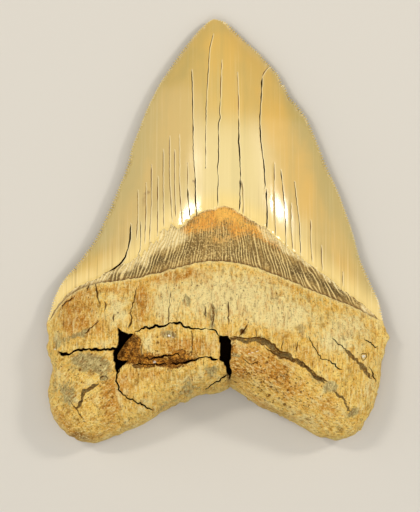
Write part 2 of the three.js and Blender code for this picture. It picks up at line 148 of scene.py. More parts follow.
LEFT_GAP = [
    (-29.6, -28.7), (-28.6, -29.9), (-27.2, -30.6), (-25.9, -30.7), (-24.4, -30.7), (-25.3, -31.5),
    (-26.8, -32.9), (-28.0, -34.4), (-29.0, -35.6), (-29.6, -36.8), (-29.8, -38.4), (-28.0, -38.8),
    (-26.5, -38.8), (-27.4, -39.9), (-28.9, -41.2), (-29.6, -42.6), (-30.3, -42.1), (-30.4, -40.6),
    (-31.0, -38.8), (-31.1, -37.2), (-30.7, -35.6), (-29.8, -34.2), (-29.4, -32.3), (-29.5, -30.5),
]
RIGHT_GAP = [
    (0.5, -31.3), (3.3, -31.4), (4.2, -32.8), (4.4, -34.4), (4.1, -36.2), (4.3, -37.9), (3.9, -39.1),
    (4.0, -40.9), (4.5, -42.7), (4.1, -44.5), (3.7, -45.0), (3.4, -43.9), (2.5, -41.1), (1.9, -39.4),
    (0.3, -38.7), (0.7, -37.4), (0.6, -35.6), (1.0, -34.5), (0.6, -33.0),
]

# The block's broken end slopes down into the left gap

BROKEN_END = [
    (-24.4, -30.6), (-22.8, -31.6), (-22.2, -33.4), (-22.7, -35.8), (-22.0, -38.2), (-24.6, -39.4),
    (-27.6, -40.0),
    (-30.4, -39.8), (-30.6, -38.4), (-30.4, -36.6), (-29.8, -35.0), (-28.8, -33.8), (-27.5, -32.2),
    (-26.0, -30.9),
]
BROKEN_END_DROP = 2.6

# Open cracks as width, depth and path, all in millimetres

ROOT_CRACKS = [
    (0.85, 3.0, [(-47.3, -36.2), (-46.1, -36.8), (-44.3, -37.1), (-42.9, -36.5), (-41.4, -35.7),
    (-39.3, -35.4),
                (-36.9, -35.5), (-34.5, -35.6), (-32.4, -35.5), (-30.8, -35.4), (-28.6, -35.8)]),
    (0.62, 2.5, [(-24.6, -30.6), (-23.2, -29.6), (-21.4, -28.7), (-19.9, -29.3), (-18.5, -28.4),
                (-17.3, -28.7), (-15.2, -28.2), (-14.0, -27.5), (-12.8, -28.0), (-11.3, -27.5),
                (-10.4, -28.4), (-8.3, -28.9), (-7.1, -29.5), (-5.4, -29.6), (-3.0, -29.3)]),
    (0.35, 1.2, [(-3.0, -29.3), (-1.2, -29.7), (0.2, -30.6), (0.8, -31.6)]),
    (0.6, 2.5, [(0.5, -38.2), (-1.5, -38.2), (-3.0, -37.7), (-4.3, -37.6), (-5.7, -38.2), (-7.4, -38.8),
                 (-9.5, -39.3), (-11.9, -39.9), (-14.3, -39.7)]),
    (0.6, 1.8, [(-10.5, -37.4), (-12.5, -36.8), (-14.3, -37.4), (-16.7, -37.8), (-19.6, -38.2),
    (-22.3, -38.0)]),
    (0.42, 1.6, [(-28.4, -40.0), (-29.4, -42.4), (-29.8, -44.2), (-29.5, -45.7), (-28.9, -47.3),
                 (-28.1, -48.8), (-26.6, -50.0), (-25.0, -50.7), (-23.2, -51.5), (-21.6, -52.4),
                 (-20.2, -53.3), (-18.5, -54.0)]),
    (0.36, 0.9, [(27.1, -31.5), (27.8, -33.2), (28.7, -34.7), (29.8, -36.5), (31.2, -38.1), (33.0, -38.4),
                (34.5, -39.7), (35.7, -40.8), (37.4, -41.5)]),
    (0.34, 0.8, [(34.2, -31.7), (35.7, -33.2), (37.2, -34.7), (38.7, -36.2)]),
    (0.38, 0.8, [(7.6, -38.0), (8.6, -38.9), (9.8, -39.7), (11.0, -39.3), (12.4, -40.2)]),
    (0.36, 0.7, [(44.2, -32.0), (45.5, -33.1), (46.8, -34.3), (48.4, -35.3)]),
    (0.45, 0.8, [(45.5, -40.8), (46.5, -42.6), (47.2, -44.2), (47.6, -45.6)]),
    (0.4, 1.0, [(-25.2, -40.1), (-21.5, -39.8), (-18.0, -39.9), (-14.5, -39.7)]),
    (0.4, 1.2, [(-4.2, -38.8), (-3.7, -40.6)]),
    (0.6, 1.5, [(-3.9, -48.0), (-1.6, -46.5), (0.9, -45.0), (3.4, -43.3)]),
]

# Fainter seams, partly closed or filled

ROOT_SEAMS = [
    (0.5, 0.6, [(-24.1, -16.8), (-24.6, -19.6), (-25.1, -21.6), (-25.8, -23.7), (-25.5, -26.0),
    (-26.2, -29.6)]),
    (0.45, 0.4, [(-13.7, -18.3), (-14.1, -21.6), (-14.3, -25.7), (-14.6, -27.6)]),
    (0.5, 0.5, [(-39.6, -30.8), (-37.5, -29.0), (-35.1, -26.8)]),
    (0.5, 0.6, [(-36.2, -14.7), (-36.1, -17.7), (-35.4, -20.7), (-34.8, -22.8)]),
    (0.4, 0.4, [(-37.9, -15.4), (-38.7, -17.3), (-39.2, -18.4)]),
    (0.45, 0.5, [(-34.0, -20.9), (-33.3, -22.3), (-33.5, -24.4)]),
    (0.4, 0.5, [(-37.2, -23.2), (-37.5, -24.8)]),
    (0.4, 0.5, [(-30.9, -24.8), (-30.6, -27.4)]),
    (0.4, 0.5, [(-42.5, -19.5), (-45.6, -21.8), (-47.6, -24.2)]),
    (0.5, 0.5, [(19.6, -32.3), (19.2, -34.0), (19.3, -36.0)]),
    (0.5, 0.5, [(24.3, -32.6), (23.8, -34.4), (23.5, -36.2)]),
    (0.55, 0.6, [(11.7, -29.2), (11.6, -30.8), (11.7, -32.2)]),
    (0.5, 0.5, [(-1.5, -21.6), (-1.0, -25.4), (-1.2, -29.0)]),
    (0.4, 0.4, [(3.6, -21.0), (3.3, -25.0), (3.4, -28.5)]),
    (0.4, 0.4, [(-3.6, -22.5), (-3.4, -26.0)]),
    (0.6, 0.6, [(9.2, -27.8), (7.9, -29.6), (6.5, -31.6)]),
    (0.35, 0.35, [(-7.8, -29.6), (-7.4, -31.6), (-7.5, -34.0), (-7.6, -36.8)]),
    (0.35, 0.35, [(-22.2, -33.4), (-22.6, -35.6), (-21.9, -38.0)]),
    (0.3, 0.3, [(-17.9, -32.6), (-18.2, -33.6), (-17.8, -34.4)]),
    (0.35, 0.5, [(-35.0, -44.9), (-34.5, -43.8), (-33.3, -43.4), (-32.3, -43.9), (-32.8, -44.9),
    (-34.0, -45.5),
                 (-35.0, -44.9)]),
    (0.35, 0.5, [(42.6, -37.4), (43.4, -38.6), (44.6, -38.2), (44.7, -36.8), (43.6, -36.4), (42.6, -37.4)]),
    (0.4, 0.4, [(-44.2, -50.0), (-42.0, -53.4), (-39.6, -56.4)]),
]

# Wide shallow grooves that hold sediment

GROOVES = [
    (1.15, 1.0, [(3.9, -32.0), (6.5, -32.5), (8.9, -32.9), (11.0, -32.5), (13.1, -32.7), (14.6, -33.5),
                (16.2, -34.8), (17.8, -36.2)]),
    (1.2, 1.0, [(17.0, -36.2), (18.6, -37.0), (20.4, -37.3), (22.2, -38.2), (23.8, -39.2)]),
    (0.8, 1.0, [(22.8, -38.4), (25.3, -39.9), (27.4, -41.6), (29.5, -43.6), (31.8, -45.6)]),
    (0.75, 0.7, [(34.6, -47.8), (36.6, -49.4), (37.8, -51.0), (38.7, -52.8), (39.8, -54.2)]),
    (3.0, 1.9, [(-25.5, -39.2), (-21.5, -39.0), (-17.9, -39.1), (-14.3, -39.3)]),
    (2.0, 1.6, [(-15.5, -39.0), (-12.0, -39.3), (-9.0, -38.9)]),
    (0.75, 0.6, [(-35.2, -45.3), (-36.3, -46.0), (-38.1, -46.9), (-39.3, -47.9), (-40.0, -49.3),
    (-40.6, -51.0),
                (-41.7, -53.4)]),
    (1.1, 0.8, [(38.0, -35.6), (40.5, -37.8), (42.3, -39.6), (44.0, -41.4), (45.2, -42.7), (46.1, -44.3)]),
]
# Seams along the grooves' upper edges; their dark colour is a painted shadow line
GROOVE_EDGES = [
    (0.5, 0.6, [(4.2, -31.5), (8.9, -32.1), (13.1, -31.9), (14.9, -32.7), (18.4, -35.7), (20.2, -36.6)]),
    (0.45, 0.5, [(13.8, -34.4), (16.0, -36.2), (18.8, -37.8), (21.4, -38.3), (24.2, -39.8)]),
    (0.5, 0.6, [(23.5, -37.9), (26.2, -40.1), (29.8, -43.1), (33.2, -45.3)]),
]

# Cracks down the crown

CROWN_CRACKS = [
    (0.16, 0.25, [(-1.2, 58.5), (-2.2, 54.3), (-2.7, 47.2), (-3.1, 40.0), (-3.3, 35.9), (-3.4, 26.3),
    (-3.4, 18.6)]),
    (0.28, 0.40, [(-7.6, 47.8), (-7.4, 42.4), (-7.2, 32.9), (-7.1, 22.5), (-6.5, 15.0), (-6.5, 11.5),
                  (-6.4, 7.9), (-6.0, 4.9), (-6.4, 3.9)]),
    (0.20, 0.25, [(1.0, 38.8), (0.7, 35.3), (1.0, 33.8), (0.4, 31.7), (0.4, 21.6), (0.1, 18.6), (0.4, 14.7),
                  (0.1, 11.5), (0.2, 7.3)]),
    (0.32, 0.50, [(6.4, 33.5), (6.4, 26.3), (6.7, 22.5), (7.0, 15.6)]),
    (0.34, 0.45, [(6.9, 15.6), (6.8, 12.1), (6.8, 7.9), (6.5, 5.6)]),
    (0.34, 0.50, [(13.4, 45.6), (13.3, 44.0), (13.2, 41.2), (12.7, 34.1), (12.8, 29.9), (13.0, 26.3),
                  (13.4, 23.1), (13.9, 19.8), (14.1, 16.2), (14.3, 13.2), (14.0, 12.1)]),
    (0.36, 0.50, [(14.6, 12.4), (14.7, 9.1), (14.9, 5.5), (14.8, 0.4)]),
    (0.21, 0.40, [(18.9, 18.0), (19.4, 13.8), (20.1, 6.7), (20.3, 2.5), (20.5, -4.9)]),
    (0.18, 0.35, [(23.0, 14.4), (23.7, 8.2), (24.5, 1.9), (24.8, -5.8), (24.8, -7.6)]),
    (0.30, 0.40, [(-8.8, 12.6), (-8.5, 7.9), (-8.2, 5.5), (-8.0, 3.4)]),
    (0.42, 0.50, [(-25.7, 1.9), (-26.0, -3.1), (-26.6, -5.5), (-27.3, -7.9), (-28.6, -9.8), (-30.2, -11.1),
                  (-32.1, -12.1)]),
    (0.16, 0.30, [(-22.8, 2.5), (-22.8, -2.2), (-22.9, -5.8), (-23.6, -7.4)]),
]
CROWN_SEAMS = [
    (0.30, 0.15, [(16.2, 49.0), (14.9, 48.2), (13.9, 47.0), (13.4, 45.6)]),
    (0.22, 0.15, [(1.3, 50.7), (1.1, 44.8), (1.0, 38.8)]),
    (0.20, 0.15, [(6.0, 47.0), (6.3, 40.0), (6.4, 33.5)]),
    (0.34, 0.30, [(7.3, 15.0), (7.6, 12.1), (7.8, 7.9), (7.7, 4.7)]),
    (0.26, 0.20, [(-32.1, -12.1), (-34.2, -13.5)]),
]
CROWN_SEAMS += [(0.22, 0.17, [(x, top), (x, (top + end) / 2), (x + lean, end)]) for x, top, lean, end in (
    (-8.8, 20.0, 0.0, 12.6), (-11.3, 28.4, 0.9, 1.3), (-12.7, 24.0, 0.3, 4.0), (-14.2, 28.0, 0.8, 2.6),
    (-16.1, 24.0, 0.2, 1.2), (-19.6, 19.5, -0.6, -3.4), (-17.7, 16.0, -0.1, -1.6),
    (-21.2, 14.0, -0.4, -4.0),
    (-23.6, 12.0, -0.4, -2.4), (31.0, -4.6, 0.4, -11.8), (37.4, -12.4, 0.2, -16.5), (27.8, 3.0, 0.5, -9.4),
    (17.0, 20.0, 0.4, -1.6), (22.0, 8.0, 0.5, -6.0))]
LABIAL_CRACKS = [
    (0.35, 0.30, [(-5.2, 44.0), (-4.6, 30.0), (-5.4, 12.0), (-4.8, -6.0)]),
    (0.30, 0.25, [(4.6, 30.0), (5.3, 14.0), (4.8, -4.0), (5.6, -12.0)]),
    (0.35, 0.30, [(14.8, 16.0), (15.6, 2.0), (15.0, -14.0)]),
    (0.30, 0.25, [(-16.8, 14.0), (-17.4, 0.0), (-16.9, -14.0)]),
    (0.50, 0.60, [(-46.0, -38.0), (-38.0, -36.4), (-31.0, -38.6), (-24.0, -37.0)]),
    (0.45, 0.60, [(6.0, -36.0), (16.0, -38.5), (27.0, -44.0), (36.0, -50.0)]),
]

# Pores that show from a step away, as place and radius

PORES = [
    (7.5, -30.1, 0.9), (14.9, -39.4, 0.5), (17.9, -43.9, 0.5), (13.1, -45.4, 0.5), (16.1, -46.9, 0.6),
    (21.1, -47.8, 0.5), (20.8, -43.0, 0.45), (20.2, -52.2, 0.6), (9.5, -42.7, 0.45), (25.0, -48.1, 0.45),
    (-17.6, -33.4, 0.5), (-17.9, -31.8, 0.35), (-17.7, -36.0, 0.35), (-7.7, -36.2, 0.45),
    (-6.0, -16.4, 0.35), (8.7, -26.6, 0.3), (19.3, -24.6, 0.3), (-29.5, -24.6, 0.4), (-41.0, -41.5, 0.6),
    (-27.3, -34.4, 0.8), (-25.6, -36.6, 0.7), (-28.4, -37.2, 0.8), (-24.2, -33.8, 0.6), (-26.4, -38.4, 0.6),
    (15.6, -49.4, 0.45), (18.5, -50.2, 0.4), (11.0, -46.4, 0.4), (23.5, -45.5, 0.4),
]

# Stains as x, y, half width, half height, turn in degrees and strength. Each list serves crown and root

CREAM_STAINS = [
    # The first spot is a painted sheen over the middle of the crown, not a stain
    (5.0, 16.0, 13.0, 17.0, 0, 1.0), (-8.0, 6.0, 6.0, 7.0, 0, 0.6), (24.0, -1.0, 9.0, 6.0, -38, 0.6),
    (-19.0, 1.0, 10.0, 4.5, 40, 0.8), (0.0, 40.0, 6.0, 14.0, 0, 0.25),
    (3.0, -19.5, 18.0, 8.0, 0, 1.0), (-15.8, -22.2, 3.4, 7.0, 0, 1.0), (-29.8, -23.5, 3.6, 6.0, 0, 0.75),
    (-20.2, -33.6, 2.0, 2.8, 0, 0.9), (35.5, -33.0, 6.0, 4.6, 0, 0.9), (21.0, -26.0, 9.0, 5.0, 0, 0.9),
    (41.0, -28.0, 7.0, 4.0, -20, 0.7),
    (-47.0, -45.0, 3.0, 6.0, 0, 0.4), (27.0, -57.0, 9.0, 3.0, -25, 0.5),
    (-8.0, -45.0, 8.0, 3.0, 18, 0.5), (-33.5, -33.3, 3.0, 1.6, 0, 0.6), (6.4, -34.2, 2.4, 1.2, -10, 0.8),
    (-0.6, -33.6, 0.8, 3.0, 0, 0.8), (46.0, -47.0, 2.4, 8.0, 0, 0.5), (-21.0, -50.5, 4.0, 2.0, 25, 0.5),
]
OCHRE_STAINS = [
    (0.5, 54.0, 9.0, 8.0, 0, 0.7), (5.0, 38.0, 8.0, 12.0, 0, 0.6), (17.0, 30.0, 5.0, 18.0, 8, 0.75),
    (24.0, 12.0, 6.0, 18.0, 12, 0.7), (-36.0, -9.5, 9.0, 4.0, 42, 0.8), (-44.5, -18.5, 5.0, 3.5, 50, 0.8),
    (38.5, -11.0, 5.0, 9.0, 20, 0.75),
    (-43.3, -25.8, 4.0, 6.4, 0, 1.0), (-38.0, -22.5, 3.5, 5.0, 0, 0.5), (-31.3, -50.0, 3.6, 6.0, 0, 0.9),
    (-22.3, -22.5, 2.6, 6.5, 0, 0.9), (-25.9, -34.7, 3.0, 3.6, 0, 1.0), (-9.5, -34.2, 9.5, 3.0, 0, 0.95),
    (13.1, -39.3, 10.0, 4.6, -28, 1.0), (21.5, -47.5, 12.0, 5.0, -32, 0.5), (7.5, -40.5, 4.0, 5.0, 0, 0.95),
    (18.0, -31.0, 8.0, 2.0, -12, 0.3), (27.0, -36.5, 6.0, 3.0, -30, 0.5), (-21.7, -43.5, 8.0, 2.4, 8, 0.6),
    (36.0, -23.0, 8.0, 2.5, -18, 0.25), (-35.5, -29.5, 6.0, 3.5, 0, 0.5), (-27.0, -46.0, 2.4, 4.0, 0, 0.6),
    (14.0, -52.0, 7.0, 1.6, -30, 0.6), (-11.0, -13.5, 12.0, 1.8, 8, 0.7), (-29.0, -17.5, 8.0, 1.6, 8, 0.6),
    (16.0, -15.0, 8.0, 1.6, -22, 0.4), (42.5, -40.0, 3.5, 5.0, 30, 0.4), (34.0, -53.0, 6.0, 3.0, -40, 0.4),
    (-36.0, -59.0, 8.0, 2.5, 0, 0.35), (-46.0, -57.0, 4.0, 5.0, 45, 0.6), (-40.0, -61.5, 8.0, 1.5, 0, 0.5),
]
GREY_STAINS = [
    (-24.5, 20.0, 4.5, 18.0, -22, 0.75), (-33.5, 1.5, 4.5, 9.0, -30, 0.7),
    (-9.5, 49.0, 3.5, 12.0, -30, 0.55),
    # The first two spots on this line are a painted shadow line just inside the crown's lower right margin
    (42.9, -8.0, 0.7, 10.0, 25, 1.0), (45.4, -9.5, 1.4, 9.0, 25, 0.6), (33.0, 10.0, 4.0, 14.0, 20, 0.6),
    (26.0, 31.0, 3.5, 12.0, 25, 0.6),
    (-16.0, 12.0, 4.0, 14.0, 0, 0.4), (11.0, 54.0, 2.0, 8.0, 38, 0.4),
    (-39.0, -38.6, 5.6, 2.8, 0, 1.0), (-35.6, -40.6, 4.4, 2.8, -20, 1.0),
    (-47.5, -33.5, 2.0, 3.4, 0, 0.7), (-44.2, -49.0, 3.2, 4.8, 10, 0.75),
    (-41.7, -31.1, 5.0, 1.0, 20, 0.8), (-1.8, -42.1, 3.0, 2.4, 0, 0.8), (33.6, -46.9, 2.9, 2.0, -38, 1.0),
    (40.9, -54.4, 2.6, 1.5, 25, 1.0), (-33.6, -44.5, 1.2, 0.9, 0, 1.0), (-14.3, -31.1, 2.8, 1.2, 0, 1.0),
    (-9.2, -20.7, 1.1, 2.0, 0, 1.0), (-1.4, -25.7, 0.9, 4.0, 0, 1.0), (-3.5, -25.2, 0.8, 2.6, 0, 0.8),
    (-8.0, -48.6, 7.0, 1.4, 22, 0.6), (-16.5, -53.6, 4.0, 1.0, 30, 0.6), (5.9, -36.6, 1.4, 1.1, 0, 0.9),
    (-49.0, -44.0, 1.4, 8.0, 0, 0.5), (-8.5, -46.6, 3.0, 1.0, 30, 0.5), (30.0, -20.5, 8.0, 2.0, -18, 0.45),
    (28.5, -44.0, 3.0, 1.6, -40, 0.6), (-3.5, -33.0, 1.0, 2.4, 0, 0.4),
]
BROWN_STAINS = [
    (-20.8, 11.3, 0.7, 0.6, 0, 1.0), (-21.8, 9.0, 1.2, 2.6, -15, 0.5), (-6.4, 15.0, 0.5, 0.6, 0, 1.0),
    (24.8, -29.8, 1.9, 1.3, 0, 0.6), (7.5, -30.4, 1.0, 1.5, 0, 1.0), (-27.6, -37.9, 1.8, 1.4, 0, 1.0),
    (-47.0, -36.8, 1.2, 0.8, 0, 0.7), (-20.0, -38.4, 5.0, 0.8, 0, 0.8), (-22.5, -36.6, 2.4, 0.8, 0, 0.7),
    (3.4, -44.0, 0.9, 3.0, 10, 0.8), (-26.3, -32.4, 2.0, 1.2, -40, 0.9), (-11.0, -37.2, 5.0, 0.6, 0, 0.6),
    (9.0, -38.0, 2.0, 1.6, 0, 0.5), (33.6, -46.9, 2.4, 1.4, -38, 0.35), (-8.0, -42.0, 4.0, 0.7, 6, 0.4),
    (17.0, -36.9, 3.0, 0.6, -30, 0.7),
    (-41.0, -61.2, 7.0, 2.0, 8, 0.6), (-47.0, -57.5, 1.4, 4.0, 30, 0.35),
    (-1.6, -26.2, 0.6, 3.2, 0, 0.6), (-3.7, -25.8, 0.5, 2.0, 0, 0.5), (-9.2, -20.8, 0.8, 1.3, 0, 0.4),
]
ORANGE_STAINS = [
    (3.0, 4.6, 6.5, 3.0, 0, 1.0), (-4.2, 2.4, 5.0, 2.4, 12, 0.95), (5.7, 0.2, 3.0, 2.6, 0, 0.85),
    (11.5, -0.2, 5.0, 1.8, -32, 0.8), (17.5, -4.4, 4.0, 1.2, -36, 0.5), (-9.0, 0.0, 2.6, 1.2, 30, 0.5),
    (0.0, -2.4, 3.0, 2.0, 0, 0.4),
]
GOLD_STAINS = [
    (2.4, 4.4, 2.6, 2.4, 0, 1.0), (6.4, 3.0, 2.6, 1.4, -30, 0.8), (12.0, 0.2, 5.0, 1.0, -32, 0.8),
    (-4.5, 3.9, 3.0, 0.5, 16, 0.6),
]
BAND_PALE_STAINS = [
    (-20.6, -6.0, 6.0, 2.6, 42, 1.0), (-14.8, -2.0, 4.0, 2.6, 35, 1.0), (-11.0, -1.6, 2.5, 2.0, 35, 0.7),
    (-26.5, -10.4, 4.0, 1.3, 30, 0.8), (-36.0, -15.2, 6.0, 0.8, 20, 1.0), (-46.0, -21.3, 4.0, 1.4, 45, 0.8),
    (14.0, -0.6, 4.0, 1.0, -34, 0.6), (20.0, -5.0, 5.0, 1.3, -36, 0.9), (27.0, -9.8, 5.0, 0.8, -36, 0.9),
    (33.5, -14.8, 6.0, 0.7, -38, 0.9), (45.5, -24.3, 3.0, 1.0, -40, 1.0),
]
BAND_NET_STAINS = [(-1.5, -4.0, 9.0, 4.5, 0, 1.0)]
RUST_STAINS = [
    (-19.0, -39.0, 8.5, 1.9, 0, 1.0), (-10.5, -38.7, 5.0, 1.5, 0, 0.9), (-12.0, -36.6, 6.0, 0.8, 0, 0.7),
    (4.6, -35.0, 0.9, 3.6, 0, 0.7), (-21.5, -37.2, 3.0, 1.0, 0, 0.6),
]
BAND_DARK_STAINS = [
    (-30.0, -13.6, 7.0, 1.2, 10, 0.8), (-19.0, -9.8, 7.0, 2.0, 18, 1.0), (-9.0, -5.6, 5.0, 2.6, 20, 0.4),
    (6.0, -6.5, 8.0, 1.8, -8, 0.6), (24.0, -12.8, 8.0, 2.0, -26, 0.8), (34.0, -17.4, 6.0, 1.2, -30, 0.9),
    (17.0, -8.0, 4.0, 3.0, -30, 0.2), (-1.0, -0.6, 1.6, 1.4, 0, 0.4),
]
# Painted glints: near-white spots where mineral grains catch the light, and last a thin pale scratch
GLINTS = [
    (43.8, -37.6, 0.75, 0.75, 0, 1.0), (-14.3, -31.4, 0.6, 0.4, 0, 1.0), (-13.2, -31.9, 0.4, 0.3, 0, 0.8),
    (-18.7, -39.2, 0.7, 0.5, 0, 0.9), (-48.5, -35.5, 0.7, 0.5, 0, 0.7), (-26.6, -56.6, 0.5, 0.4, 0, 0.4),
    (10.5, -36.4, 3.4, 0.16, 17, 0.9),
]

# How wide the painted highlight is to the right of each crack in the crown, where its lip would catch the
# light, and how far each kind of crack strays from its path, in millimetres

CROWN_LIP = 0.3
JAGS = {"crack": 0.4, "seam": 0.25, "groove": 0.5, "crown_crack": 0.07, "crown_seam": 0.05}

# How the root's fibres turn from straight down, in degrees

RIGHT_LOBE_TURN = 55.0
LEFT_LOBE_TURN = -50.0

# How finely the surface is drawn, in millimetres

CROWN_STEP = 0.62
ROOT_STEP = 0.37
RIB_FAN_CENTRE = (1.0, 45.0)
RIB_FAN_REACH = 55.0  # how far from that point the ribs have their named spacing
RIB_FAN_STEP = 0.0046  # radians between mesh lines across the ribs
RIB_ROW_STEP = 0.75
GAP_STEP = 0.32
LABIAL_STEP = 0.85
STRIP_REACH = 2.0  # how far in from the root's rim the steep wall goes
WALL_RINGS = 15
UNDER_RINGS = 7
RIM_STEP = 0.52
POINTS_PER_SERRATION = 4
SEED = 11


# Small sums

def mix(a, b, f):
    return a + (b - a) * f


def smooth(v):
    f = np.clip(v, 0.0, 1.0)
    return f * f * (3.0 - 2.0 * f)


def curve_through(pairs):
    """A smooth curve through (where, value) pairs."""
    at, value = np.array(pairs, float).T
    order = np.arange(len(at))
    before, after = np.maximum(order - 1, 0), np.minimum(order + 1, len(at) - 1)
    slope = (value[after] - value[before]) / (at[after] - at[before])

    def curve(where):
        place = np.clip(where, at[0], at[-1])
        i = np.clip(np.searchsorted(at, place, side="right") - 1, 0, len(at) - 2)
        span = at[i + 1] - at[i]
        f = (place - at[i]) / span
        bend = f * (1 - f) ** 2 * span * slope[i] + f * f * (f - 1) * span * slope[i + 1]
        return mix(value[i], value[i + 1], f * f * (3 - 2 * f)) + bend

    return curve


def spline(points, per_segment=24):
    """A smooth line through points, with a few short steps between each two."""
    p = np.array(points, float)
    q = np.vstack([p[:1], p, p[-1:]])
    t = np.linspace(0, 1, per_segment, endpoint=False)[:, None]
    rows = []
    for i in range(len(p) - 1):
        p0, p1, p2, p3 = q[i:i + 4]
        v0, v1 = (p2 - p0) / 2, (p3 - p1) / 2
        rows.append((2 * p1 - 2 * p2 + v0 + v1) * t**3
                    + (-3 * p1 + 3 * p2 - 2 * v0 - v1) * t**2 + v0 * t + p1)
    return np.vstack(rows + [p[-1:]])


def respace(line, step=None, count=None, stretch=None):
    """The same line with evenly spaced points. stretch, one number a segment, asks for more or fewer."""
    lengths = np.linalg.norm(np.diff(line, axis=0), axis=1)
    along = np.concatenate([[0], np.cumsum(lengths if stretch is None else stretch)])
    count = count or max(1, round(along[-1] / step))
    at = np.linspace(0, along[-1], count + 1)
    return np.column_stack([np.interp(at, along, line[:, k]) for k in range(line.shape[1])])


def left_normals(line):
    """Unit vectors to the left of an open line's way."""
    way = np.gradient(line, axis=0)
    way /= np.maximum(1e-9, np.linalg.norm(way, axis=1))[:, None]
    return np.column_stack([-way[:, 1], way[:, 0]])


def blurred(values, reach):
    """Averages each row with its neighbours along a line."""
    padded = np.pad(values, ((reach, reach), (0, 0)), mode="edge")
    kernel = np.hanning(2 * reach + 3)[1:-1]
    kernel /= kernel.sum()
    return np.column_stack([np.convolve(padded[:, k], kernel, mode="valid") for k in range(values.shape[1])])


def frayed(line, reach, seed):
    """The line in short steps that stray up and down, by up to twice the reach. x still grows."""
    line = respace(line, step=0.45)
    at = line[:, 0]
    shift = value_noise(seed, at / 0.6, at * 0) + value_noise(seed + 1, at / 2.4, at * 0)
    shift[[0, -1]] = 0
    return line + np.column_stack([at * 0, reach * shift])


def value_noise(seed, *coordinates):
    """Smooth noise from -1 to 1 over two or three coordinates, with cells one unit across."""
    size = 64
    table = np.random.default_rng(seed).random((size,) * len(coordinates)) * 2 - 1
    cells = [np.floor(c).astype(int) for c in coordinates]
    fractions = [smooth(c - cell) for c, cell in zip(coordinates, cells)]
    total = 0.0
    for corner in np.ndindex(*(2,) * len(coordinates)):
        weight = 1.0
        for step, f in zip(corner, fractions):
            weight = weight * (f if step else 1 - f)
        total = total + weight * table[tuple((cell + step) % size for cell, step in zip(cells, corner))]
    return total


def path_distance(x, y, path, reach):
    """Distance to a path and fraction along it, for the points within reach. The rest get infinity."""
    distance = np.full(x.shape, np.inf)
    fraction = np.zeros(x.shape)
    low, high = path.min(axis=0) - reach, path.max(axis=0) + reach
    near = np.nonzero((x > low[0]) & (x < high[0]) & (y > low[1]) & (y < high[1]))[0]
    if not len(near):
        return distance, fraction
    px, py = x[near], y[near]
    best, where = np.full(len(near), np.inf), np.zeros(len(near))
    for i in range(len(path) - 1):
        a, way = path[i], path[i + 1] - path[i]
        f = np.clip(((px - a[0]) * way[0] + (py - a[1]) * way[1]) / max(1e-9, way @ way), 0, 1)
        d = np.hypot(px - a[0] - f * way[0], py - a[1] - f * way[1])
        closer = d < best
        best[closer] = d[closer]
        where[closer] = (i + f[closer]) / (len(path) - 1)
    distance[near], fraction[near] = best, where
    return distance, fraction


def nearest(points, others):
    """How far each point is from the nearest of the others."""
    tree = KDTree(len(others))
    for i, (x, y) in enumerate(others):
        tree.insert((x, y, 0), i)
    tree.balance()
    return np.array([tree.find((x, y, 0))[2] for x, y in points])


def line_at(line, x):
    """How far up a line lies that runs from left to right."""
    return np.interp(x, line[:, 0], line[:, 1])


def inside(x, y, polygon):
    """True within a polygon, closed or not."""
    found = np.zeros(x.shape, bool)
    for i in range(len(polygon)):
        (ax, ay), (bx, by) = polygon[i - 1], polygon[i]
        if ay == by:
            continue
        crosses = (ay > y) != (by > y)
        found ^= crosses & (x < ax + (y - ay) * (bx - ax) / (by - ay))
    return found


# The form: outline and heights, in millimetres

def softened(curve, reach):
    """The same curve without sudden bends: averaged over that many quarter millimetres each way."""
    at = np.arange(0, 140, 0.25)
    height = curve(at)
    mirrored = 2 * height[0] - height[reach:0:-1]
    even = blurred(np.concatenate([mirrored, height])[:, None], reach)[reach:, 0]
    return lambda where: np.interp(where, at, even)


lingual_middle = softened(curve_through(LINGUAL_MIDDLE), 40)
labial_middle = curve_through(LABIAL_MIDDLE)
edge_height = curve_through(EDGE_HEIGHT)
root_top_below = curve_through(ROOT_TOP_BELOW)
root_bottom = curve_through(ROOT_BOTTOM)


def from_tip(y):
    return np.maximum(0.0, TIP[1] - y)


def settle(points, height):
    """Moves points read on the reading plane to where they lie at their own height."""
    nearer = ((EYE_HEIGHT - height) / (EYE_HEIGHT - READING_PLANE))[:, None]
    return mix(np.array([EYE_X, EYE_Y]), points, nearer)


def settle_rim(points):
    points = np.array(points, float)
    return settle(points, edge_height(from_tip(points[:, 1])))


